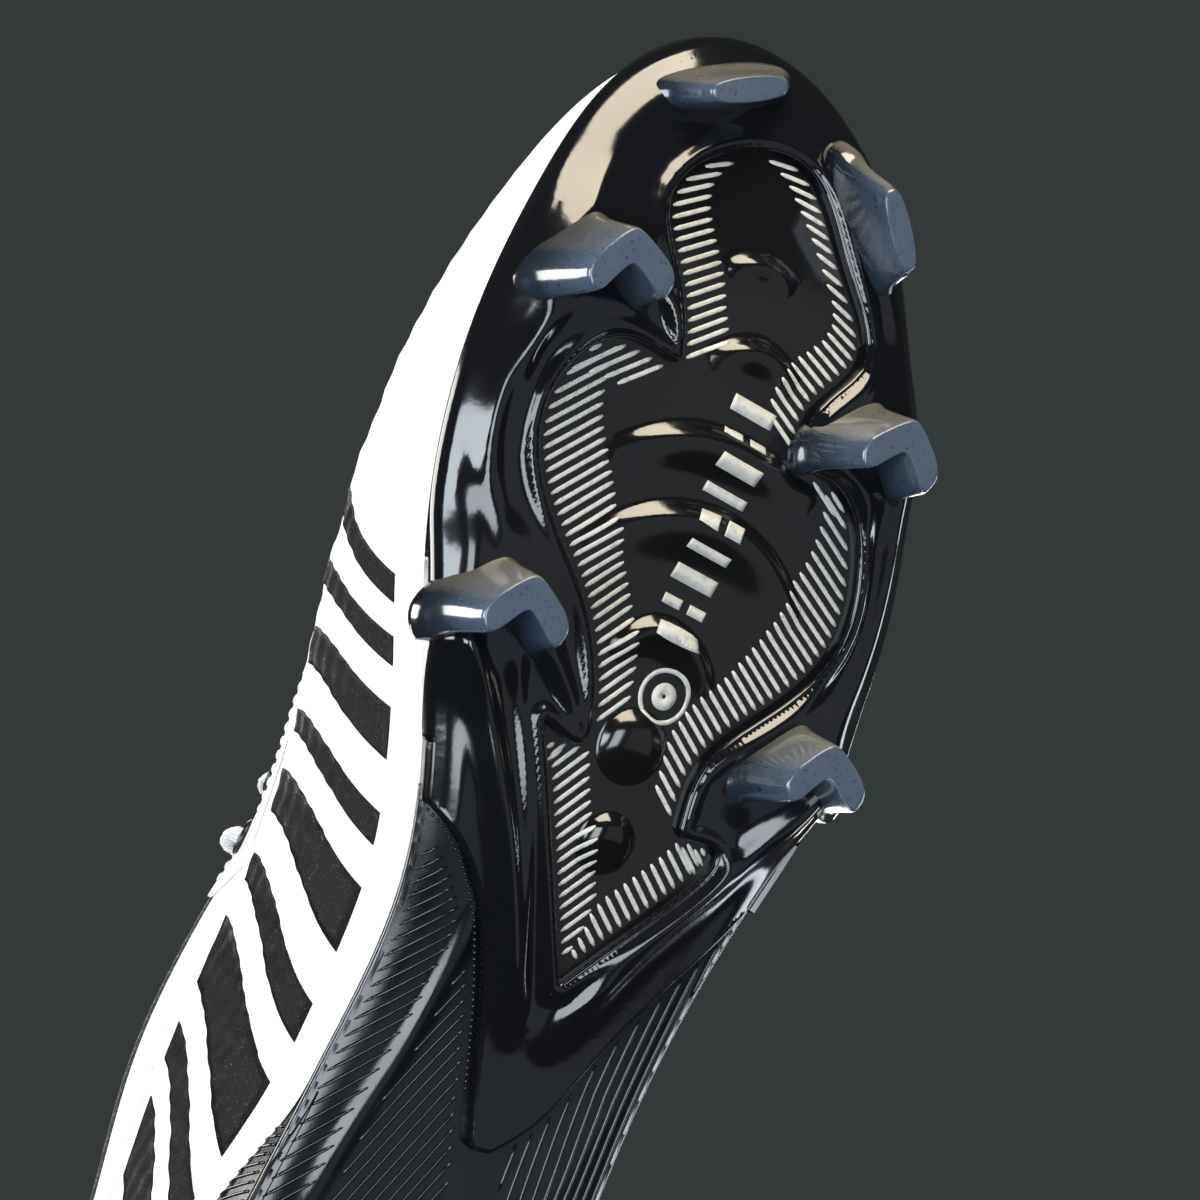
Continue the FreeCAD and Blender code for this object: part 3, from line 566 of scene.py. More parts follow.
def clipped_grid(mask):
    """Vertices and faces of the grid's cells where mask is positive, cut on its zero line."""
    mask = np.where(np.abs(mask) < 0.05 * STEP, np.where(mask < 0, -0.05, 0.05) * STEP, mask)
    inside = mask > 0
    number = -np.ones(mask.shape, int)
    number[inside] = np.arange(inside.sum())
    points = np.stack([X[inside], Y[inside]], 1).tolist()
    corner_count = inside[:-1, :-1].astype(int) + inside[1:, :-1] + inside[:-1, 1:] + inside[1:, 1:]
    i, j = np.nonzero(corner_count == 4)
    corners = number[i, j], number[i, j + 1], number[i + 1, j + 1], number[i + 1, j]
    faces = np.stack(corners, 1).tolist()
    crossings = {}
    rim = []

    def crossing(a, b):
        key = (a, b) if a < b else (b, a)
        if key not in crossings:
            f = mask[a] / (mask[a] - mask[b])
            crossings[key] = len(points)
            points.append([X[a] + (X[b] - X[a]) * f, Y[a] + (Y[b] - Y[a]) * f])
        return crossings[key]

    for i, j in zip(*np.nonzero((corner_count > 0) & (corner_count < 4))):
        around = [(i, j), (i, j + 1), (i + 1, j + 1), (i + 1, j)]
        loop = []
        cuts = []
        for k in range(4):
            a, b = around[k], around[(k + 1) % 4]
            if inside[a]:
                loop.append(number[a])
            if inside[a] != inside[b]:
                loop.append(crossing(a, b))
                cuts.append((len(loop) - 1, inside[a]))
        faces.append(loop)
        if len(cuts) == 2:
            leaving = [p for p, out in cuts if out][0]
            rim.append((loop[leaving], loop[(leaving + 1) % len(loop)]))
    return np.array(points), faces, rim


def slab(name, regions, height, top, made, nodes):
    """Plate on the grid: regions are (distance field, wall profile); walls carry it to its top."""
    xy, faces, rim = clipped_grid(np.min([distance for distance, _ in regions], axis=0))
    points = np.column_stack([xy, height.read(xy[:, 0], xy[:, 1])]).tolist()
    fields = [Field(distance) for distance, _ in regions]
    rings = {}
    for v in set(v for edge in rim for v in edge):
        place = xy[v]
        which = int(np.argmin([f.read(*place) for f in fields]))
        out = -fields[which].uphill(*place)
        rings[v] = [v]
        for move, rise, from_top in regions[which][1]:
            x, y = place + out * move
            rings[v].append(len(points))
            points.append([x, y, (top(x) if from_top else points[v][2]) + rise])
        rings[v].append(len(points))
        points.append([*place, top(place[0])])
    for a, b in rim:
        faces += zip(rings[a], rings[a][1:], rings[b][1:], rings[b])
    roof = {}
    for v, place in enumerate(xy):
        if v in rings:
            roof[v] = rings[v][-1]
        else:
            roof[v] = len(points)
            points.append([*place, top(place[0])])
    faces += [tuple(roof[v] for v in f[::-1]) for f in faces if max(f) < len(xy)]
    piece(name, points, faces, made, nodes=nodes)


def quarter(first, steps):
    """Angles from the first one to a right angle, without the first."""
    return [first + (math.pi / 2 - first) * k / steps for k in range(1, steps + 1)]


def rolled(start, width, height, steps):
    """Wall profile that goes on from the grid's rounded edge, a distance in, out to the edge."""
    first = math.asin(1.0 - start / width)
    lift = height * (1.0 - math.cos(first))
    return [(width * math.sin(t) - (width - start), height * (1 - math.cos(t)) - lift, False)
            for t in quarter(first, steps)]


def corner(radius, steps, *rises):
    """Wall profile of a small rounded corner, then straight up to the given rises."""
    turn = [(radius * math.sin(t), radius * (1 - math.cos(t)), False) for t in quarter(0.0, steps)]
    return turn + [(radius, rise, False) for rise in rises]


# From each edge to where the grid stops, and the plates' upper faces above the sole's level.
EDGE_IN, WINDOW_OUT, V_OUT, REAR_IN = 2.4, 0.7, 0.9, 0.7
FRONT_TOP, TAIL_TOP, PANEL_TOP, REAR_TOP = 5.95, 3.3, 2.9, 5.98
slab("forefoot_plate_shell",
     [(from_edge - EDGE_IN, rolled(EDGE_IN, *EDGE_ROLL, 9)[:8] + [(EDGE_IN, -0.15, True)]),
      (-in_window - WINDOW_OUT, corner(WINDOW_OUT, 6, 2.6, 2.7, 2.7)),
      (in_v - V_OUT, corner(V_OUT, 6, 3.2, 3.25, 3.25))],
     under, lambda x: float(sole_height(x)) + (FRONT_TOP if x > 20.0 else TAIL_TOP),
     outsole_black, ("forefoot_plate",))
slab("window_panel_sheet", [(in_window + 1.6, [(0.1, 0.1, False)])], panel_field,
     lambda x: float(sole_height(x)) + PANEL_TOP, panel_black, ("window_panel",))
rear_relief = moulding(REAR_RIDGES, [(2.0, 12.0, spot) for spot in REAR_ROOTS])
rear_relief += 1.9 * np.clip(1.0 - from_edge / 8.5, 0.0, 1.0) ** 2
rear_flat = Field(BASE + REAR_RISE + rear_relief)
rear_under = Field(BASE + REAR_RISE + rear_relief + roll(from_edge, *REAR_ROLL))
slab("rear_plate_shell",
     [(from_edge - REAR_IN, rolled(REAR_IN, *REAR_ROLL, 6) + [(REAR_IN, -0.1, True)]),
      (2.5 - in_v, corner(0.2, 5, 0.3, 0.35)), (19.5 - X, corner(0.2, 5, 0.3, 0.35))],
     rear_under, lambda x: float(sole_height(x)) + REAR_TOP, rear_black, ("rear_plate",))


# ---------- upper surface ----------
def periodic_samples(points, count):
    p = np.array(points, float)
    total = len(p)
    place = np.arange(count) * total / count
    k = place.astype(int)
    f = (place - k)[:, None]
    a, b, c, d = (p[(k + j) % total] for j in (-1, 0, 1, 2))
    return 0.5 * (b * 2 + (c - a) * f + (a * 2 - b * 5 + c * 4 - d) * f * f
                  + (b * 3 - a - c * 3 + d) * f ** 3)


def upper_poles():
    """The upper's net of poles, made as the CAD source makes it."""
    feet = periodic_samples([(x, y, 0.0) for x, y in SOLE], AROUND)
    tops = periodic_samples(TOPLINE, AROUND)
    along = np.roll(feet, -1, 0) - np.roll(feet, 1, 0)
    outward = unit(np.stack([along[:, 1], -along[:, 0], np.zeros(AROUND)], 1))
    foot = feet - outward * 1.5
    foot[:, 2] = sole_height(foot[:, 0]) + 6.05
    level = foot - tops
    level[:, 2] = 0.0
    rise = tops[:, 2] - foot[:, 2]
    steep = rise / (rise + np.linalg.norm(level, axis=1))
    raised = np.zeros((AROUND, 3))
    raised[:, 2] = 1.0
    low = foot + outward * 4.0 + raised * (0.54 * rise)[:, None]
    high = tops + level * 0.62 - raised * ((0.06 + 0.32 * steep) * rise)[:, None]
    poles = np.zeros((AROUND, UP, 3))
    for j in range(UP):
        f = j / (UP - 1.0)
        g = 1.0 - f
        poles[:, j] = foot * g ** 3 + low * (3 * g * g * f) + high * (3 * g * f * f) + tops * f ** 3
    return poles


POLES = upper_poles()
KNOTS = np.array([0.0] * 4 + list(range(1, UP - 3)) + [UP - 3.0] * 4)


def basis(v):
    """Cubic basis values of the clamped direction, one row per place."""
    v = np.clip(np.asarray(v, float), 0.0, KNOTS[-1] - 1e-9)
    b = np.stack([((KNOTS[i] <= v) & (v < KNOTS[i + 1])).astype(float)
                  for i in range(len(KNOTS) - 1)], -1)
    for degree in (1, 2, 3):
        parts = []
        for i in range(len(KNOTS) - 1 - degree):
            left, right = KNOTS[i + degree] - KNOTS[i], KNOTS[i + degree + 1] - KNOTS[i + 1]
            value = np.zeros_like(v)
            if left > 0:
                value = value + (v - KNOTS[i]) / left * b[..., i]
            if right > 0:
                value = value + (KNOTS[i + degree + 1] - v) / right * b[..., i + 1]
            parts.append(value)
        b = np.stack(parts, -1)
    return b


def outer_point(turn, place):
    """Point of the upper's outer face, by column number and place up it."""
    turn, place = np.broadcast_arrays(np.asarray(turn, float), np.asarray(place, float))
    k = np.floor(turn).astype(int)
    f = turn - k
    weights = np.stack([(1 - f) ** 3, 3 * f ** 3 - 6 * f * f + 4,
                        -3 * f ** 3 + 3 * f * f + 3 * f + 1, f ** 3], -1) / 6
    grid = POLES[(k[..., None] + np.arange(-1, 3)) % AROUND]
    return np.einsum("...a,...b,...abc->...c", weights, basis(place * (UP - 3)), grid)


def on_upper(turn, place, offset=0.0):
    """Points at an offset from the upper's outer face, by column number and place up it."""
    place = np.asarray(place, float)
    p = outer_point(turn, place)
    du = outer_point(np.asarray(turn) + 0.02, place) - outer_point(np.asarray(turn) - 0.02, place)
    lower, higher = np.maximum(place - 0.004, 0.0), np.minimum(place + 0.004, 1.0)
    dv = outer_point(turn, higher) - outer_point(turn, lower)
    normal = unit(np.cross(du, dv))
    return p + normal * np.asarray(offset, float)[..., None], normal


def throat_spot(side, station, inset):
    """Column and place of a spot in from the throat's edge, at a station along the shoe."""
    near, far = ((14.0, 35.0), (60.0, 40.0))[side]
    while abs(far - near) > 0.001:
        middle = (near + far) / 2.0
        if outer_point(middle, 1.0)[0] < station:
            near = middle
        else:
            far = middle
    edge = outer_point(near, 1.0)
    place = 1.0
    while np.linalg.norm(outer_point(near, place) - edge) < inset:
        place -= 0.002
    return near, place


eyelet_points = [on_upper(*throat_spot(side, station, HOLE_INSET))
                 for station in THROAT_ROWS for side in (0, 1)]


def swelling(spots, p):
    """Soft quilting of the knit and the flex creases at the ball."""
    x, y, z = spots[..., 0], spots[..., 1], spots[..., 2]
    quilt = (np.sin((x * 0.82 + z * 0.57) * 2 * math.pi / 7.0)
             * np.sin((x * 0.5 - z * 0.86) * 2 * math.pi / 9.0))
    waves = 0.22 * quilt * smooth((p - 0.12) / 0.15) * smooth((0.86 - p) / 0.1)
    crease = 0.55 * np.exp(-((p - 0.62) / 0.2) ** 2) * np.sin(x * 2 * math.pi / 17.0 + y * 0.2)
    return waves + crease * smooth((x - 30.0) / 25.0) * smooth((105.0 - x) / 25.0)


def upper_mesh():
    """Knit upper as a closed skin with its lacing holes, and soft quilting on its sides."""
    turns = np.arange(0.0, AROUND, 0.2)
    places = np.concatenate([np.linspace(0.0, 0.94, 66), np.linspace(0.95, 1.0, 6)])
    t, p = np.meshgrid(turns, places, indexing="ij")
    spots, normals = on_upper(t, p)
    edge = 0.9 - np.sqrt(np.maximum(0.0, 0.81 - np.clip((p - 0.985) / 0.015, 0, 1) ** 2 * 0.81))
    outer = spots + normals * (swelling(spots, p) - edge)[..., None]
    inner = spots - normals * (1.8 - edge * 0.9)[..., None]
    rows, columns = t.shape
    half = rows * columns
    centres = spots.reshape(-1, 3)
    near_hole = np.zeros(half, bool)
    for hole, _ in eyelet_points:
        near_hole |= np.linalg.norm(centres - hole, axis=1) < 2.9
    faces = []
    for i in range(rows):
        low, next_low = i * columns, (i + 1) % rows * columns
        for a, b in zip(range(low, low + columns - 1), range(next_low, next_low + columns - 1)):
            quad = (a, b, b + 1, a + 1)
            if sum(near_hole[v] for v in quad) < 2:
                faces.append(quad)
                faces.append(tuple(half + v for v in quad[::-1]))
        top, next_top = low + columns - 1, next_low + columns - 1
        faces.append((top, next_top, half + next_top, half + top))
        faces.append((next_low, low, half + low, half + next_low))
    points = np.concatenate([outer.reshape(-1, 3), inner.reshape(-1, 3)])
    item = piece("knit_upper", points, faces, knit_white, nodes=("upper",))
    item.data.materials.append(lining_white)
    lining = [int(min(f.vertices) >= half) for f in item.data.polygons]
    item.data.polygons.foreach_set("material_index", lining)


upper_mesh()

# Arch wing of the rear plate: a skin that climbs the medial side, thinning to its top edge.
WING_FIRST, WING_LAST = 2.0, 13.0


def wing_top(turn):
    """Place up the upper where the wing ends."""
    share = np.clip((np.asarray(turn, float) - WING_FIRST) / (WING_LAST - WING_FIRST), 0.0, 1.0)
    return 0.01 + 0.15 * np.maximum(np.sin(math.pi * share ** 0.75), 0.0) ** 1.6


def wing_bulge(turn, share):
    """How far the wing stands off the upper, by column and share of its height."""
    ends = smooth((turn - WING_FIRST) / 1.2) * smooth((WING_LAST - turn) / 1.6)
    return 1.35 * ends * np.sqrt(np.clip((1.0 - share) / 0.35, 0.0, 1.0))


def wing_mesh():
    turns = np.linspace(WING_FIRST, WING_LAST, 130)
    t, r = np.meshgrid(turns, np.linspace(0.0, 1.0, 26), indexing="ij")
    p = wing_top(t) * r
    skins = []
    for offset in (0.15 + wing_bulge(t, r), np.full(t.shape, 0.02)):
        spots = on_upper(t, p, offset)[0]
        # one more row, tucked down behind the plate's edge
        skins.append(np.concatenate([spots[:, :1] - np.array([0.0, 0.0, 2.2]), spots], 1))
    rows, columns = skins[0].shape[:2]
    half = rows * columns
    faces = strip_faces(rows, columns, flip=True) + strip_faces(rows, columns, start=half)
    for a in range(columns - 1, half - 1, columns):
        faces.append((a, half + a, half + a + columns, a + columns))
    piece("arch_wing_skin", np.concatenate(skins).reshape(-1, 3), faces, rear_black)


wing_mesh()


# ---------- fine ribs ----------
def rib_profile(width, height):
    """Half round with a point below it, sunk into the surface."""
    return [(-math.cos(t) * width / 2, math.sin(t) * height)
            for t in np.linspace(0.0, math.pi, 5)] + [(0.0, -0.3)]


def on_sole(x, y, field, lift):
    """Points at a lift below an outsole face, and the face's downward normals."""
    gx, gy = field.read(x, y, field.slope[0]), field.read(x, y, field.slope[1])
    down = unit(np.stack([gx, gy, -np.ones_like(gx)], -1))
    return np.stack([x, y, field.read(x, y)], -1) + down * lift, down


def lay_rib(heap, start, direction, length, field, width, height, lift=0.0, pitch=1.4):
    """Short raised line on the underside from a start point along a level direction."""
    count = max(4, int(length / pitch) + 1)
    s = np.linspace(0.0, length, count)
    points, down = on_sole(start[0] + direction[0] * s, start[1] + direction[1] * s, field, lift)
    profile = np.array([rib_profile(width, height)] * count)
    profile[[0, -1], :, 0] *= 0.45
    profile[[0, -1], :, 1] *= 0.6
    heap.sweep(points, unit(np.cross(tangents(points), down)), down, profile)


# Line that parts two of the rear plate's fields of ribs.
SPINE = np.array(((-70.0, -25.5), (-56.0, -22.9), (-42.0, -20.4), (-30.0, -16.8), (-20.0, -14.9),
                  (-11.0, -13.7), (22.0, -11.0)))
edge_field, v_field = Field(from_edge), Field(in_v)


def spine(x):
    return np.interp(x, SPINE[:, 0], SPINE[:, 1])


# Fields of ribs: direction, pitch, and the test of which places belong.
RIB_FIELDS = (
    ((0.70, 0.715), 1.8, lambda x, y: ((y < spine(x) - 1.6) & (x > -72) & (x < 20)
                                       & (v_field.read(x, y) < -2.6))),
    ((0.88, 0.475), 1.9, lambda x, y: ((y > spine(x) + 1.9) & (y < -2.0 - 0.12 * (x + 40))
                                       & (x > -72) & (x < -4))),
    ((0.997, 0.08), 2.0, lambda x, y: ((y > 5.5 + 0.30 * np.maximum(0, -(x + 40)))
                                       & (x > -62) & (x < 22))),
    ((0.75, -0.66), 2.4, lambda x, y: (x < -84) & (x > -136) & (y < -4.5)),
    ((0.75, 0.66), 2.4, lambda x, y: (x < -84) & (x > -136) & (y > -4.5)),
)


def bottom_ribs():
    """Fine ribs of the rear plate, and the beads along the forefoot plate's edge."""
    heap = Heap()
    s = np.arange(-170.0, 170.0, 0.5)
    for direction, pitch, belongs in RIB_FIELDS:
        d = np.array(direction) / np.hypot(*direction)
        for offset in np.arange(-170.0, 170.0, pitch):
            x, y = -d[1] * offset + d[0] * s, d[0] * offset + d[1] * s
            good = belongs(x, y) & (edge_field.read(x, y) > 1.2) & (v_field.read(x, y) < -1.6)
            for px, py in REAR_ROOTS:
                good &= np.hypot(x - px, y - py) > 15.5
            places = np.nonzero(good)[0]
            for run in np.split(places, np.nonzero(np.diff(places) > 1)[0] + 1):
                if len(run) > 6:
                    start = x[run[0]], y[run[0]]
                    lay_rib(heap, start, d, 0.5 * (len(run) - 1), rear_flat, *RIB)
    for place in even(spline(V_MEDIAL, 60)[4:-8], 1.15)[0]:
        away = v_field.uphill(*place)
        spot = place - away * 0.55
        if edge_field.read(*spot) >= 1.6:
            lay_rib(heap, spot, (away[1], -away[0]), 0.6, rear_flat, 0.7, 0.45, pitch=0.2)
    heap.make("rear_plate_ribs", rear_black, slot="outsole_black")


def wing_ribs():
    """Slanted ribs on the arch wing."""
    heap = Heap()
    for start in np.arange(WING_FIRST + 0.3, WING_LAST + 0.1, 0.17):
        place = np.linspace(0.004, 0.16, 26)
        t = start - 11.0 * place
        good = (t > WING_FIRST + 0.5) & (place < 0.93 * wing_top(t))
        if good.sum() < 3:
            continue
        t, place = t[good], place[good]
        points, normal = on_upper(t, place, 0.1 + wing_bulge(t, place / wing_top(t)))
        across = unit(np.cross(tangents(points), normal))
        heap.sweep(points, across, normal, rib_profile(*RIB))
    heap.make("arch_wing_ribs", rear_black, slot="outsole_black")


bottom_ribs()
wing_ribs()

# ---------- window hatching and generic print ----------
# Place round the window's outline (0 to 1 from its rear tip), direction in degrees and length.
STROKES = np.array((
    (0.0, 38.0, 7.0), (0.2, 40.0, 7.5), (0.27, 42.0, 7.5), (0.30, 45.0, 11.0), (0.37, 50.0, 12.0),
    (0.41, 55.0, 7.5), (0.45, 61.0, 7.5), (0.475, 72.0, 7.0), (0.50, 84.0, 6.5),
    (0.53, 104.0, 5.0), (0.56, 116.0, 6.0), (0.60, 125.0, 8.0), (0.64, 126.0, 7.5),
    (0.69, 124.0, 12.5), (0.74, 128.0, 7.5), (0.80, 132.0, 6.2), (1.0, 132.0, 6.0),
))
STROKE_PITCH, STROKE_STEP, STROKE_INSET = 1.72, 0.3, 1.3
STROKE_SIZE = (0.78, 0.09)  # width and height of a printed stroke
EMBLEM = (36.7, 5.6)  # middle of the ring and dot
BAR_START, BAR_PITCH, BAR_HALF, BAR_LEAN = (46.6, 3.9), (4.75, 0.25), 4.2, (-0.16, 0.987)


def hatch():
    """Printed strokes fanning round inside the window's edge."""
    heap = Heap()
    closed = np.vstack([window_line, window_line[:1]])
    inside, share_at = Field(in_window), Field(window_share)
    count = len(window_line)
    gathered = 0.0
    before = closed[0]
    for step in range(1, count * 12):
        share = step / (count * 12.0)
        k = int(share * count)
        spot = closed[k] + (closed[k + 1] - closed[k]) * (share * count - k)
        angle = math.radians(np.interp(share, STROKES[:, 0], STROKES[:, 1]))
        d = np.array([math.cos(angle), math.sin(angle)])
        inward = inside.uphill(*spot)
        if np.dot(inward, d) < 0:
            d = -d
        move = spot - before
        gathered += abs(float(move[0] * d[1] - move[1] * d[0]))
        before = spot
        slant = abs(float(np.dot(inward, d)))
        if gathered < STROKE_PITCH or slant < 0.2:
            continue
        gathered = 0.0
        length = float(np.interp(share, STROKES[:, 0], STROKES[:, 2]))
        steps = np.arange(STROKE_INSET / max(slant, 0.35), length + STROKE_INSET, STROKE_STEP)
        x, y = spot[0] + d[0] * steps, spot[1] + d[1] * steps
        good = (inside.read(x, y) > 0.8) & (np.abs(share_at.read(x, y) - share) < 0.16)
        if not good.any():
            continue
        first = int(np.argmax(good))
        reach = len(good) - first if good[first:].all() else int(np.argmin(good[first:]))
        if reach * STROKE_STEP >= 1.5:
            lay_rib(heap, (x[first], y[first]), d, reach * STROKE_STEP, panel_field, *STROKE_SIZE,
                    lift=0.02, pitch=0.9)
    return heap


def flat_print(heap, x, y, width, closed=False):
    """Printed stroke on the window's panel along given points."""
    points, down = on_sole(x, y, panel_field, 0.05)
    half = width / 2
    heap.sweep(points, unit(np.cross(tangents(points, closed), down)), down,
               [(-half, 0.0), (-half, 0.05), (half, 0.05), (half, 0.0)], closed)


printing = hatch()
for radius, width in ((4.3, 0.8), (1.3, 1.9)):
    flat_print(printing, EMBLEM[0] + radius * np.cos(circle(48)),
               EMBLEM[1] + radius * np.sin(circle(48)), width, closed=True)
for k in range(9):
    # a plain run of slanted bars, wide and narrow by turns, some of them split
    x, y = (a + b * k for a, b in zip(BAR_START, BAR_PITCH))
    whole, split = ((-BAR_HALF, BAR_HALF),), ((-BAR_HALF, -0.6), (0.9, BAR_HALF))
    for low, high in split if k % 3 == 1 else whole:
        s = np.linspace(low, high, 12)
        flat_print(printing, x + BAR_LEAN[0] * s, y + BAR_LEAN[1] * s, (2.7, 1.7)[k % 2])
printing.make("window_print", ink, slot="panel_black")


# ---------- studs ----------
def rounded_outline(corners):
    """Polygon with its corners cut off three times over."""
    p = np.array(corners, float)
    for _ in range(3):
        q = np.roll(p, -1, 0)
        p = np.stack([p * 0.78 + q * 0.22, p * 0.22 + q * 0.78], 1).reshape(-1, 2)
    return p


def stud_mesh(name, corners, spot, yaw, tip_z, reach, flare, centre, soft):
    """Blunt stud: rounded outline lofted from its contact face up into the outsole."""
    outline = rounded_outline(corners)
    turn = math.radians(yaw)
    spin = np.array([[math.cos(turn), -math.sin(turn)], [math.sin(turn), math.cos(turn)]])
    root = float(sole_height(spot[0])) + (REAR_RISE if spot[0] < 0 else 0.0) - tip_z
    size = float(np.abs(outline - centre).max())
    levels = [(0.0, (1.0 - soft / size) * share) for share in (0.25, 0.55, 0.8, 1.0)]
    for a in quarter(0.0, 6):
        levels.append((soft * (1 - math.cos(a)), 1.0 - soft / size * (1 - math.sin(a))))
    for z in np.linspace(soft + 0.8, root + 2.8, 16):
        gap = max(0.0, root - 0.4 - z)
        levels.append((z, 1.0 + (flare - 1.0) * z / reach + 0.26 * math.exp(-gap / 1.7)))
    points = []
    for z, scale in levels:
        flat = (centre + (outline - centre) * scale) @ spin.T + spot
        points.append(np.column_stack([flat, np.full(len(flat), tip_z + z)]))
    piece(name + "_blade", np.concatenate(points), tube_faces(len(levels), len(outline)),
          stud_smoke, nodes=(name,))


CHEVRON = ((4.0, 1.2), (-2.4, 8.3), (-7.4, 6.2), (-1.6, 0.8), (-1.6, -0.8), (-7.4, -6.2),
           (-2.4, -8.3), (4.0, -1.2))
BLADE = ((7.0, 1.3), (3.0, 2.1), (-3.0, 2.1), (-7.0, 1.3), (-7.0, -1.3), (-3.0, -2.1),
         (3.0, -2.1), (7.0, -1.3))
for name, spot, yaw in CHEVRON_STUDS:
    stud_mesh(name, CHEVRON, spot, yaw, 0.0, 26.0, 1.62, (0.6, 0.0), 0.9)
for name, spot, yaw, tip_z in EDGE_STUDS:
    stud_mesh(name, BLADE, spot, yaw, tip_z, 17.0, 1.95, (0.0, 0.0), 0.8)

# ---------- side graphics ----------
# Bars of one side: column at the foot, place of the top, and width in eighths of a column.
BARS = (
    (21.6, 0.50, 4.4), (20.4, 0.58, 4.4), (18.9, 0.64, 7.5), (17.2, 0.69, 4.6), (15.6, 0.74, 9.0),
    (13.8, 0.79, 5.4), (12.0, 0.83, 11.5), (10.1, 0.84, 6.0), (8.2, 0.84, 12.5), (6.2, 0.80, 6.4),
    (4.4, 0.72, 9.0),
)


def two_skins(rows, columns, flip=False):
    """Faces of two equal grids of points, stored one after the other, joined round their rims."""
    half = rows * columns
    number = np.arange(half).reshape(rows, columns)
    rim = np.concatenate([number[0, :-1], number[:-1, -1], number[-1, :0:-1], number[:0:-1, 0]])
    faces = strip_faces(rows, columns, flip=flip)
    faces += strip_faces(rows, columns, start=half, flip=not flip)
    faces += [(b, a, half + a, half + b) for a, b in zip(rim.tolist(), np.roll(rim, -1).tolist())]
    return faces


def side_graphics():
    """Thin film bars along both sides, wide and narrow by turns, following the quilting."""
    heap = Heap()
    f, across = np.meshgrid(np.linspace(0.0, 1.0, 44), np.linspace(-0.5, 0.5, 9), indexing="ij")
    for lateral in (False, True):
        for foot, top, width in BARS:
            t = foot + 3.0 * f + across * width / 8.0
            low = np.full(t.shape, 0.06)
            if lateral:
                t = AROUND - t[:, ::-1]
            else:
                low += np.where(t < WING_LAST, wing_top(t), 0.0)
            p = low + (top - low) * f
            spots, normals = on_upper(t, p)
            rise = (swelling(spots, p) + 0.2)[..., None]
            skins = [spots + normals * rise, spots + normals * (rise - 0.8)]
            heap.add(np.concatenate(skins).reshape(-1, 3), two_skins(*t.shape, flip=True))
    heap.make("side_bars", print_black, slot="panel_black")


side_graphics()


# ---------- throat: stitching, rings, lace ----------
STITCH_LENGTH, STITCH_PITCH, STITCH_RADIUS, STITCH_ARCH = 1.7, 2.6, 0.275, 0.22


def stitches(heap, turns, places, lift):
    """Row of small raised threads along a line over the upper."""
    share = np.linspace(0, 1, 300)
    t, p = (np.interp(share, np.linspace(0, 1, len(v)), v) for v in (turns, places))
    line = even(np.column_stack([on_upper(t, p, np.full(300, lift))[0], t, p]), 0.2)[0]
    steps = np.linalg.norm(np.diff(line[:, :3], axis=0), axis=1)
    distance = np.concatenate([[0.0], np.cumsum(steps)])
    arch = np.array([0.0, 0.8, 1.0, 0.8, 0.0])[:, None] * STITCH_ARCH
    for start in np.arange(0.5, distance[-1] - STITCH_LENGTH, STITCH_PITCH):
        s = start + np.linspace(0.0, STITCH_LENGTH, 5)
        path = np.stack([np.interp(s, distance, line[:, c]) for c in range(5)], 1)
        normal = on_upper(path[:, 3], path[:, 4])[1]
        thread(heap, path[:, :3] + normal * (arch - 0.05), normal, STITCH_RADIUS)


threads, seams = Heap(), Heap()
for first, last in ((17.3, 32.7), (41.3, 56.7)):
    for place in (0.872, 0.984):
        stitches(threads, np.linspace(first, last, 30), np.full(30, place), 0.95)
threads.make("eyestay_stitching", thread_white, slot="overlay_film")
stitches(seams, np.linspace(-3.2, 3.2, 40), 0.60 - 0.08 * np.linspace(-1, 1, 40) ** 2, 0.1)
stitches(seams, np.linspace(-14.0, 14.0, 50), np.full(50, 0.90), 0.1)
seams.make("heel_seam_stitching", thread_white, slot="knit_white")

RING_BEAD = ((2.3, 0.0), (2.15, 0.35), (2.5, 0.62), (3.0, 0.6), (3.45, 0.3), (3.5, -0.15),
             (2.9, -0.25), (2.45, -1.4), (2.2, -1.4))
rings = Heap()
angles = circle(28)
for hole, normal in eyelet_points:
    side = unit(np.cross(normal, np.array([0.0, 0.0, 1.0])))
    other = np.cross(normal, side)
    radial = side * np.cos(angles)[:, None] + other * np.sin(angles)[:, None]
    centre, ahead = (np.repeat(v[None], len(angles), 0) for v in (hole + normal * 1.2, normal))
    rings.sweep(centre, radial, ahead, RING_BEAD, closed=True)
rings.make("eyelet_grommets", ring_metal, nodes=("eyelet_rings",), slot="eyelet_metal")


def lace_path():
    """The lace's line: a NURBS curve through the route's points, as Blender reads it."""
    route = []
    for number, station in enumerate(THROAT_ROWS):
        near, far = (0, 1) if number % 2 else (1, 0)
        for side, inset, offset in ((near, HOLE_INSET, -3.6), (near, HOLE_INSET, 3.2),
                                    (near, 0.0, 3.2), (far, 0.0, 3.2),
                                    (far, HOLE_INSET, 3.2), (far, HOLE_INSET, -3.6)):
            route.append(on_upper(*throat_spot(side, station, inset), offset)[0])
    route.insert(0, route[0] + np.array([10.0, 3.0, -5.0]))
    route[-1] = on_upper(*throat_spot(1, station, 15.0), 2.7)[0]
    route.append(on_upper(*throat_spot(1, station, 24.0), 2.6)[0])
    curve = bpy.data.curves.new("lace_line", "CURVE")
    curve.dimensions = "3D"
    curve.resolution_u = 8
    run = curve.splines.new("NURBS")
    run.points.add(len(route) - 1)
    for point, place in zip(run.points, route):
        point.co = (*(place * MM), 1.0)
    run.order_u = 3
    run.use_endpoint_u = True
    holder = bpy.data.objects.new("lace_line", curve)
    line = bpy.data.meshes.new_from_object(holder)
    path = np.array([v.co for v in line.vertices]) / MM
    bpy.data.objects.remove(holder)
    bpy.data.curves.remove(curve)
    bpy.data.meshes.remove(line)
    return even(path, 0.45)


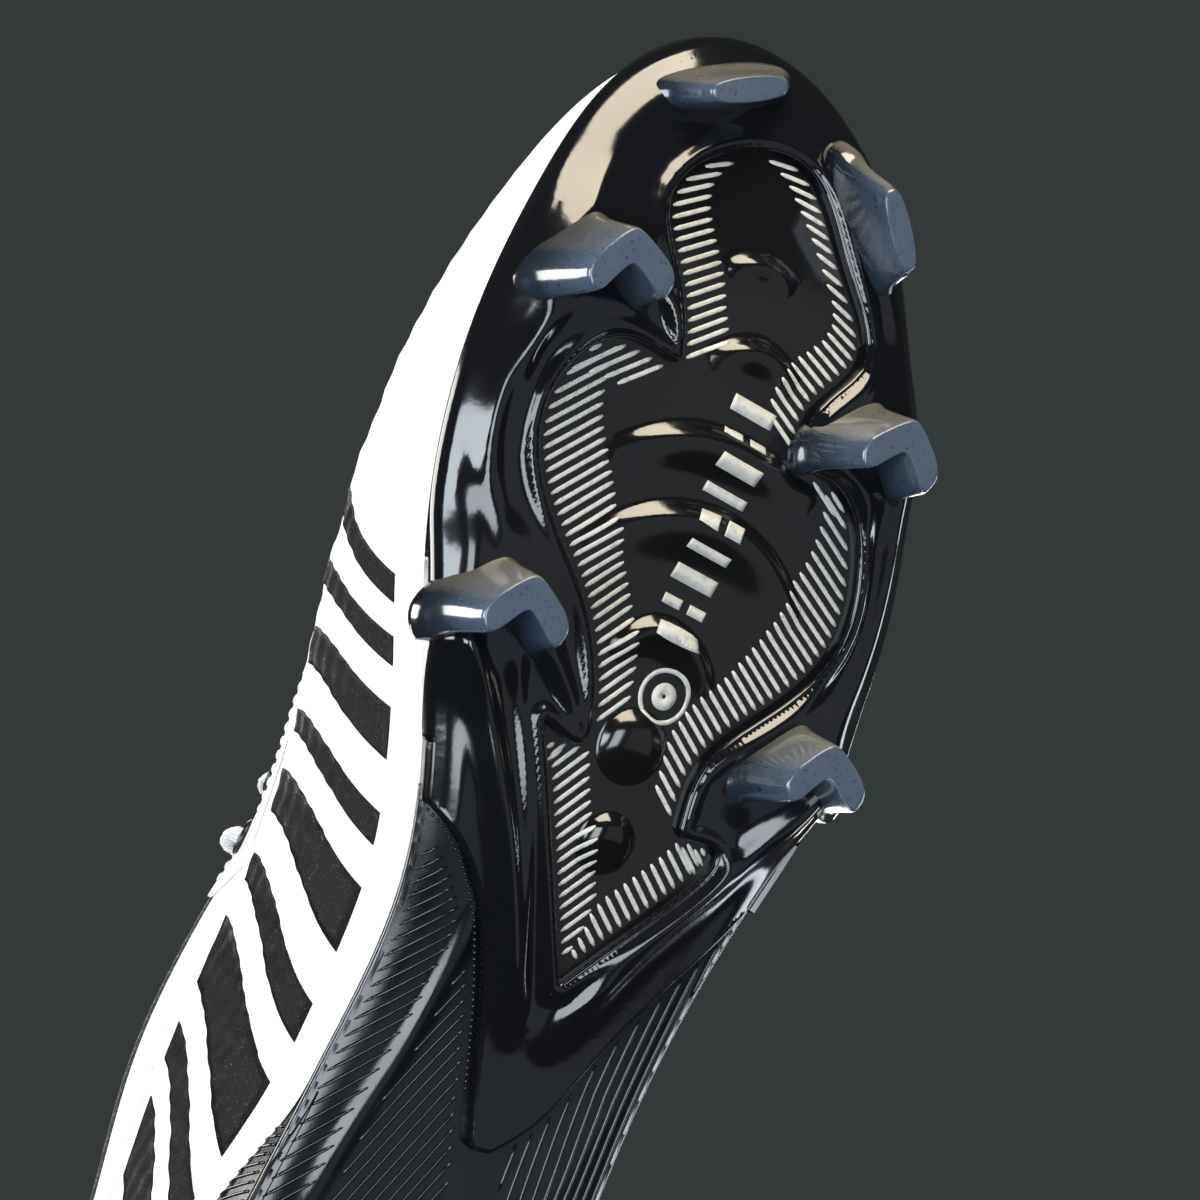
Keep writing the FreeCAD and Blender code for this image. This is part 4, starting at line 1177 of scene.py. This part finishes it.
LACE_HALF = (1.75, 0.8)  # half the lace's width and thickness


def lace_mesh():
    """Flat plaited lace along its path."""
    path, run = lace_path()
    t = tangents(path)
    up = path * np.array([0.0, 1.0, 1.0]) - np.array([0.0, MIDDLE_Y, 40.0])
    up[:, 2] = np.maximum(up[:, 2], 8.0)
    up = unit(up)
    up = unit(up - t * np.sum(up * t, 1)[:, None])
    for k in range(1, len(up)):
        mixed = up[k - 1] * 0.75 + up[k] * 0.25
        up[k] = unit(mixed - t[k] * np.dot(mixed, t[k]))
    angles = circle(18)
    plait = 0.10 * np.sin(run * 2 * math.pi / 1.5)[:, None] * np.cos(angles * 3)
    plait += 0.07 * np.sin(run * 2 * math.pi / 0.95)[:, None] * np.sin(angles * 5)
    c, s = np.cos(angles), np.sin(angles)
    wide = (LACE_HALF[0] + plait) * np.sign(c) * np.abs(c) ** 0.8
    thick = (LACE_HALF[1] + plait * 0.8) * np.sign(s) * np.abs(s) ** 0.8
    heap = Heap()
    heap.sweep(path, unit(np.cross(t, up)), up, np.stack([wide, thick], -1))
    heap.make("woven_lace", lace_fabric, nodes=("lace",), slot="lace_white")


lace_mesh()


# ---------- soft parts ----------
def tongue_mesh():
    """Padded tongue: crowned, with a rolled edge and sewn channels across it."""
    rows, count = spline(TONGUE, 96), 33
    a = np.linspace(-1.0, 1.0, count)
    edge = np.sqrt(np.maximum(0.0, 1.0 - np.clip((np.abs(a) - 0.86) / 0.14, 0, 1) ** 2))
    top, bottom = [], []
    for k, (x, crown, half, drop, thick) in enumerate(rows):
        end = min(k, len(rows) - 1 - k) / 5.0
        puff = math.sqrt(max(0.0, 1 - max(0.0, 1 - end) ** 2))
        channel = 0.5 * max(0.0, math.cos(k * 2 * math.pi / 8.0)) ** 6 * (k > 30)
        full = thick * (1.0 - 0.5 * a * a)
        swell = full * 0.5 * edge * puff
        centre = crown - drop * a * a - full * 0.5
        dent = channel * (1 - a ** 4)
        flat = [np.full(count, x), MIDDLE_Y + half * a]
        top.append(np.column_stack(flat + [centre + swell - dent * 0.8]))
        bottom.append(np.column_stack(flat + [centre - swell + dent * 0.3]))
    item = piece("padded_tongue", np.concatenate(top + bottom), two_skins(len(rows), count),
                 tongue_fabric, "tongue", ("tongue",))
    heap = Heap()
    for column in (3, 29):
        seam, run = even([row[column] + np.array([0.0, 0.0, 0.08]) for row in top[3:93]], 0.3)
        for start in np.arange(0.5, run[-1] - 2.0, 2.7):
            s = start + np.linspace(0, 1.8, 5)
            path = np.stack([np.interp(s, run, seam[:, c]) for c in range(3)], 1)
            path[:, 2] += np.array([-0.05, 0.12, 0.16, 0.12, -0.05])
            thread(heap, path, np.repeat([[0.0, 0.0, 1.0]], 5, 0), 0.28)
    heap.make("tongue_stitching", thread_white, "tongue", slot="lace_white")


tongue_mesh()


def collar_mesh():
    """Collar padding: a full roll of foam inside the topline, thin at its ends and lower edge."""
    turns, around = np.linspace(-13.0, 13.0, 150), 28
    c, s = np.cos(circle(around)), np.sin(circle(around))
    c = np.sign(c) * np.abs(c) ** 0.75
    place = 0.835 + 0.16 * np.sign(s) * np.abs(s) ** 0.85
    points = []
    for k, turn in enumerate(turns):
        end = smooth(min(k, len(turns) - 1 - k) / 10.0)
        fullness = 2.0 * (0.35 + 0.65 * end) * (0.55 + 0.45 * smooth((place - 0.66) / 0.16))
        channel = 0.45 * math.cos(turn * 2 * math.pi / 2.6) ** 8
        offset = -3.9 - c * fullness + np.where(c > 0, channel, 0.0)
        points.append(on_upper(np.full(around, turn % AROUND), place, offset)[0])
    item = piece("collar_roll", np.concatenate(points), tube_faces(len(turns), around),
                 collar_fabric, nodes=("collar_padding",))


collar_mesh()


def topline_binding():
    """Narrow folded tape over the upper's top edge, all the way round."""
    heap = Heap()
    turns = np.arange(0.0, AROUND, 0.15)
    points, normal = on_upper(turns, np.full(len(turns), 0.995))
    up = unit(np.cross(normal, tangents(points, True)))
    up *= np.sign(up[:, 2:3] + 1e-9)
    heap.sweep(points - normal * 0.9, normal, up, oval(1.25, 1.1, 12), closed=True)
    heap.make("topline_tape", collar_fabric, slot="collar_fabric")


topline_binding()


LINER_INSET = 8.4  # from the sole's edge


def liner_mesh():
    """Sock liner: a cloth-covered footbed with a raised rim."""
    inset, low, high = from_edge - LINER_INSET, 7.85, 10.4
    xy, faces, rim = clipped_grid(inset)
    count = len(xy)
    levels = (BASE + low, BASE + high + (1 - smooth(inset / 9.0)))
    points = [np.column_stack([xy, Field(level).read(*xy.T)]) for level in levels]
    every = faces + [tuple(count + v for v in f[::-1]) for f in faces]
    every += [(a, a + count, b + count, b) for a, b in rim]
    item = piece("footbed", np.concatenate(points), every, liner_fabric, "sock_liner",
                 ("sock_liner",))


liner_mesh()


def tab_mesh():
    """Pull tab: one strip of webbing folded into a loop and tacked at its foot."""
    half, rise = 1.6, 12.7

    def bend(angle, level):
        return half * math.cos(math.radians(angle)), level + half * math.sin(math.radians(angle))

    loop = [bend(a, rise) if a > 0 else (half, rise * (a + 90) / 90.0)
            for a in np.linspace(-90, 90, 9)]
    loop += [bend(a, rise) if a < 180 else (-half, rise * (270 - a) / 90.0)
             for a in np.linspace(90, 270, 10)]
    loop += [bend(a, 0.0) for a in np.linspace(180, 360, 8)[1:-1]]
    flat = even(loop + loop[:1], 0.6)[0][:-1]
    path = np.array([-128.0, -5.0, 104.0]) + np.insert(flat, 1, 0.0, axis=1)
    across = np.repeat([[0.0, 1.0, 0.0]], len(path), 0)
    side = np.linspace(-6.4, 6.4, 15)
    profile = []
    for wave in 0.06 * np.sin(np.arange(len(path)) * math.pi * 0.7):
        thick = 0.62 + wave * np.cos(side * 2.6)
        thick[[0, -1]] = 0.25
        profile.append([*zip(side, thick), *zip(side[::-1], -thick[::-1])])
    heap = Heap()
    heap.sweep(path, across, unit(np.cross(across, tangents(path, True))), profile, closed=True)
    heap.make("pull_tab_loop", tab_webbing, "heel_tab", ("heel_tab",), "tab_webbing")


tab_mesh()

# ---------- stage, light, camera ----------
FLOOR_REACH, FLOOR_PARTS, FLOOR_DROP = 9.0, 36, 0.0006  # metres
line = np.linspace(-FLOOR_REACH, FLOOR_REACH, FLOOR_PARTS + 1)
floor_mesh = bpy.data.meshes.new("floor")
floor_mesh.from_pydata([(x, y, -FLOOR_DROP) for x in line for y in line], [],
                       strip_faces(FLOOR_PARTS + 1, FLOOR_PARTS + 1, flip=True))
floor = bpy.data.objects.new("floor", floor_mesh)
bpy.context.scene.collection.objects.link(floor)
# The photo looks up at the outsole, so the floor is clear from below.
pale = material("pale_floor", (0.55, 0.55, 0.54), 0.9)
clear = node(pale, "ShaderNodeBsdfTransparent").outputs[0]
below = node(pale, "ShaderNodeNewGeometry").outputs["Backfacing"]
choice = node(pale, "ShaderNodeMixShader",
              [("Fac", below), (1, shader_of(pale).outputs[0]), (2, clear)])
link(pale, choice.outputs[0], pale.node_tree.nodes["Material Output"].inputs["Surface"])
floor_mesh.materials.append(pale)
floor.visible_glossy = False
floor.visible_diffuse = False
floor.visible_transmission = False
floor.visible_shadow = False

world = bpy.data.worlds.new("studio")
world.use_nodes = True
world.node_tree.nodes["Background"].inputs["Color"].default_value = (0.037, 0.041, 0.042, 1.0)
world.node_tree.nodes["Background"].inputs["Strength"].default_value = 1.0
bpy.context.scene.world = world


def softbox(name, aim, direction, distance, size, power, colour, size_y=None):
    """Rectangular soft light that faces a point from a direction; lengths in millimetres."""
    lamp = bpy.data.lights.new(name, "AREA")
    lamp.shape = "RECTANGLE"
    lamp.size = size * MM
    lamp.size_y = (size_y or size) * MM
    lamp.energy = power
    lamp.color = colour
    item = bpy.data.objects.new(name, lamp)
    bpy.context.scene.collection.objects.link(item)
    d = Vector(direction).normalized()
    item.location = Vector(aim) * MM + d * distance * MM
    item.rotation_euler = d.to_track_quat("Z", "Y").to_euler()


WARM, COOL, WHITE = (1.0, 0.88, 0.69), (0.84, 0.92, 1.0), (1.0, 0.98, 0.95)
softbox("toe_warm", (110, -20, 20), (0.90, -0.20, -0.36), 900, 640, 15.0, WARM, 560)
softbox("medial_cool", (50, -35, 20), (-0.22, -0.80, -0.56), 900, 430, 6.5, COOL, 400)
softbox("lens_side", (20, -10, 20), (-0.06, -0.34, -0.94), 900, 640, 5.0, COOL, 300)
softbox("medial_key", (-20, -20, 60), (-0.1, -0.80, 0.55), 900, 500, 9.0, WHITE)
softbox("lateral_strip", (30, 30, 20), (-0.16, 0.97, 0.04), 900, 560, 2.6, COOL, 240)
softbox("low_fill", (30, 0, 20), (0.05, 0.50, -0.86), 900, 900, 0.8, COOL)
softbox("top_key", (0, 0, 60), (-0.2, 0.35, 0.92), 1100, 900, 12.0, WHITE)
softbox("heel_fill", (-100, 0, 60), (-0.95, 0.2, 0.3), 1000, 600, 6.0, WHITE)

lens = bpy.data.cameras.new("camera")
lens.lens = 100.0
lens.sensor_width = 36.0
lens.clip_start = 0.01
lens.clip_end = 20.0
camera = bpy.data.objects.new("camera", lens)
bpy.context.scene.collection.objects.link(camera)
right, up, ahead = (0.30071, 0.84208, -0.44774), (0.95372, -0.26551, 0.14117), (0.0, 0.46947, 0.88295)
camera.matrix_world = Matrix((
    (right[0], up[0], -ahead[0], 48.41 * MM), (right[1], up[1], -ahead[1], -258.29 * MM),
    (right[2], up[2], -ahead[2], -451.24 * MM), (0.0, 0.0, 0.0, 1.0)))
bpy.context.scene.camera = camera
bpy.context.scene.view_settings.view_transform = "Standard"
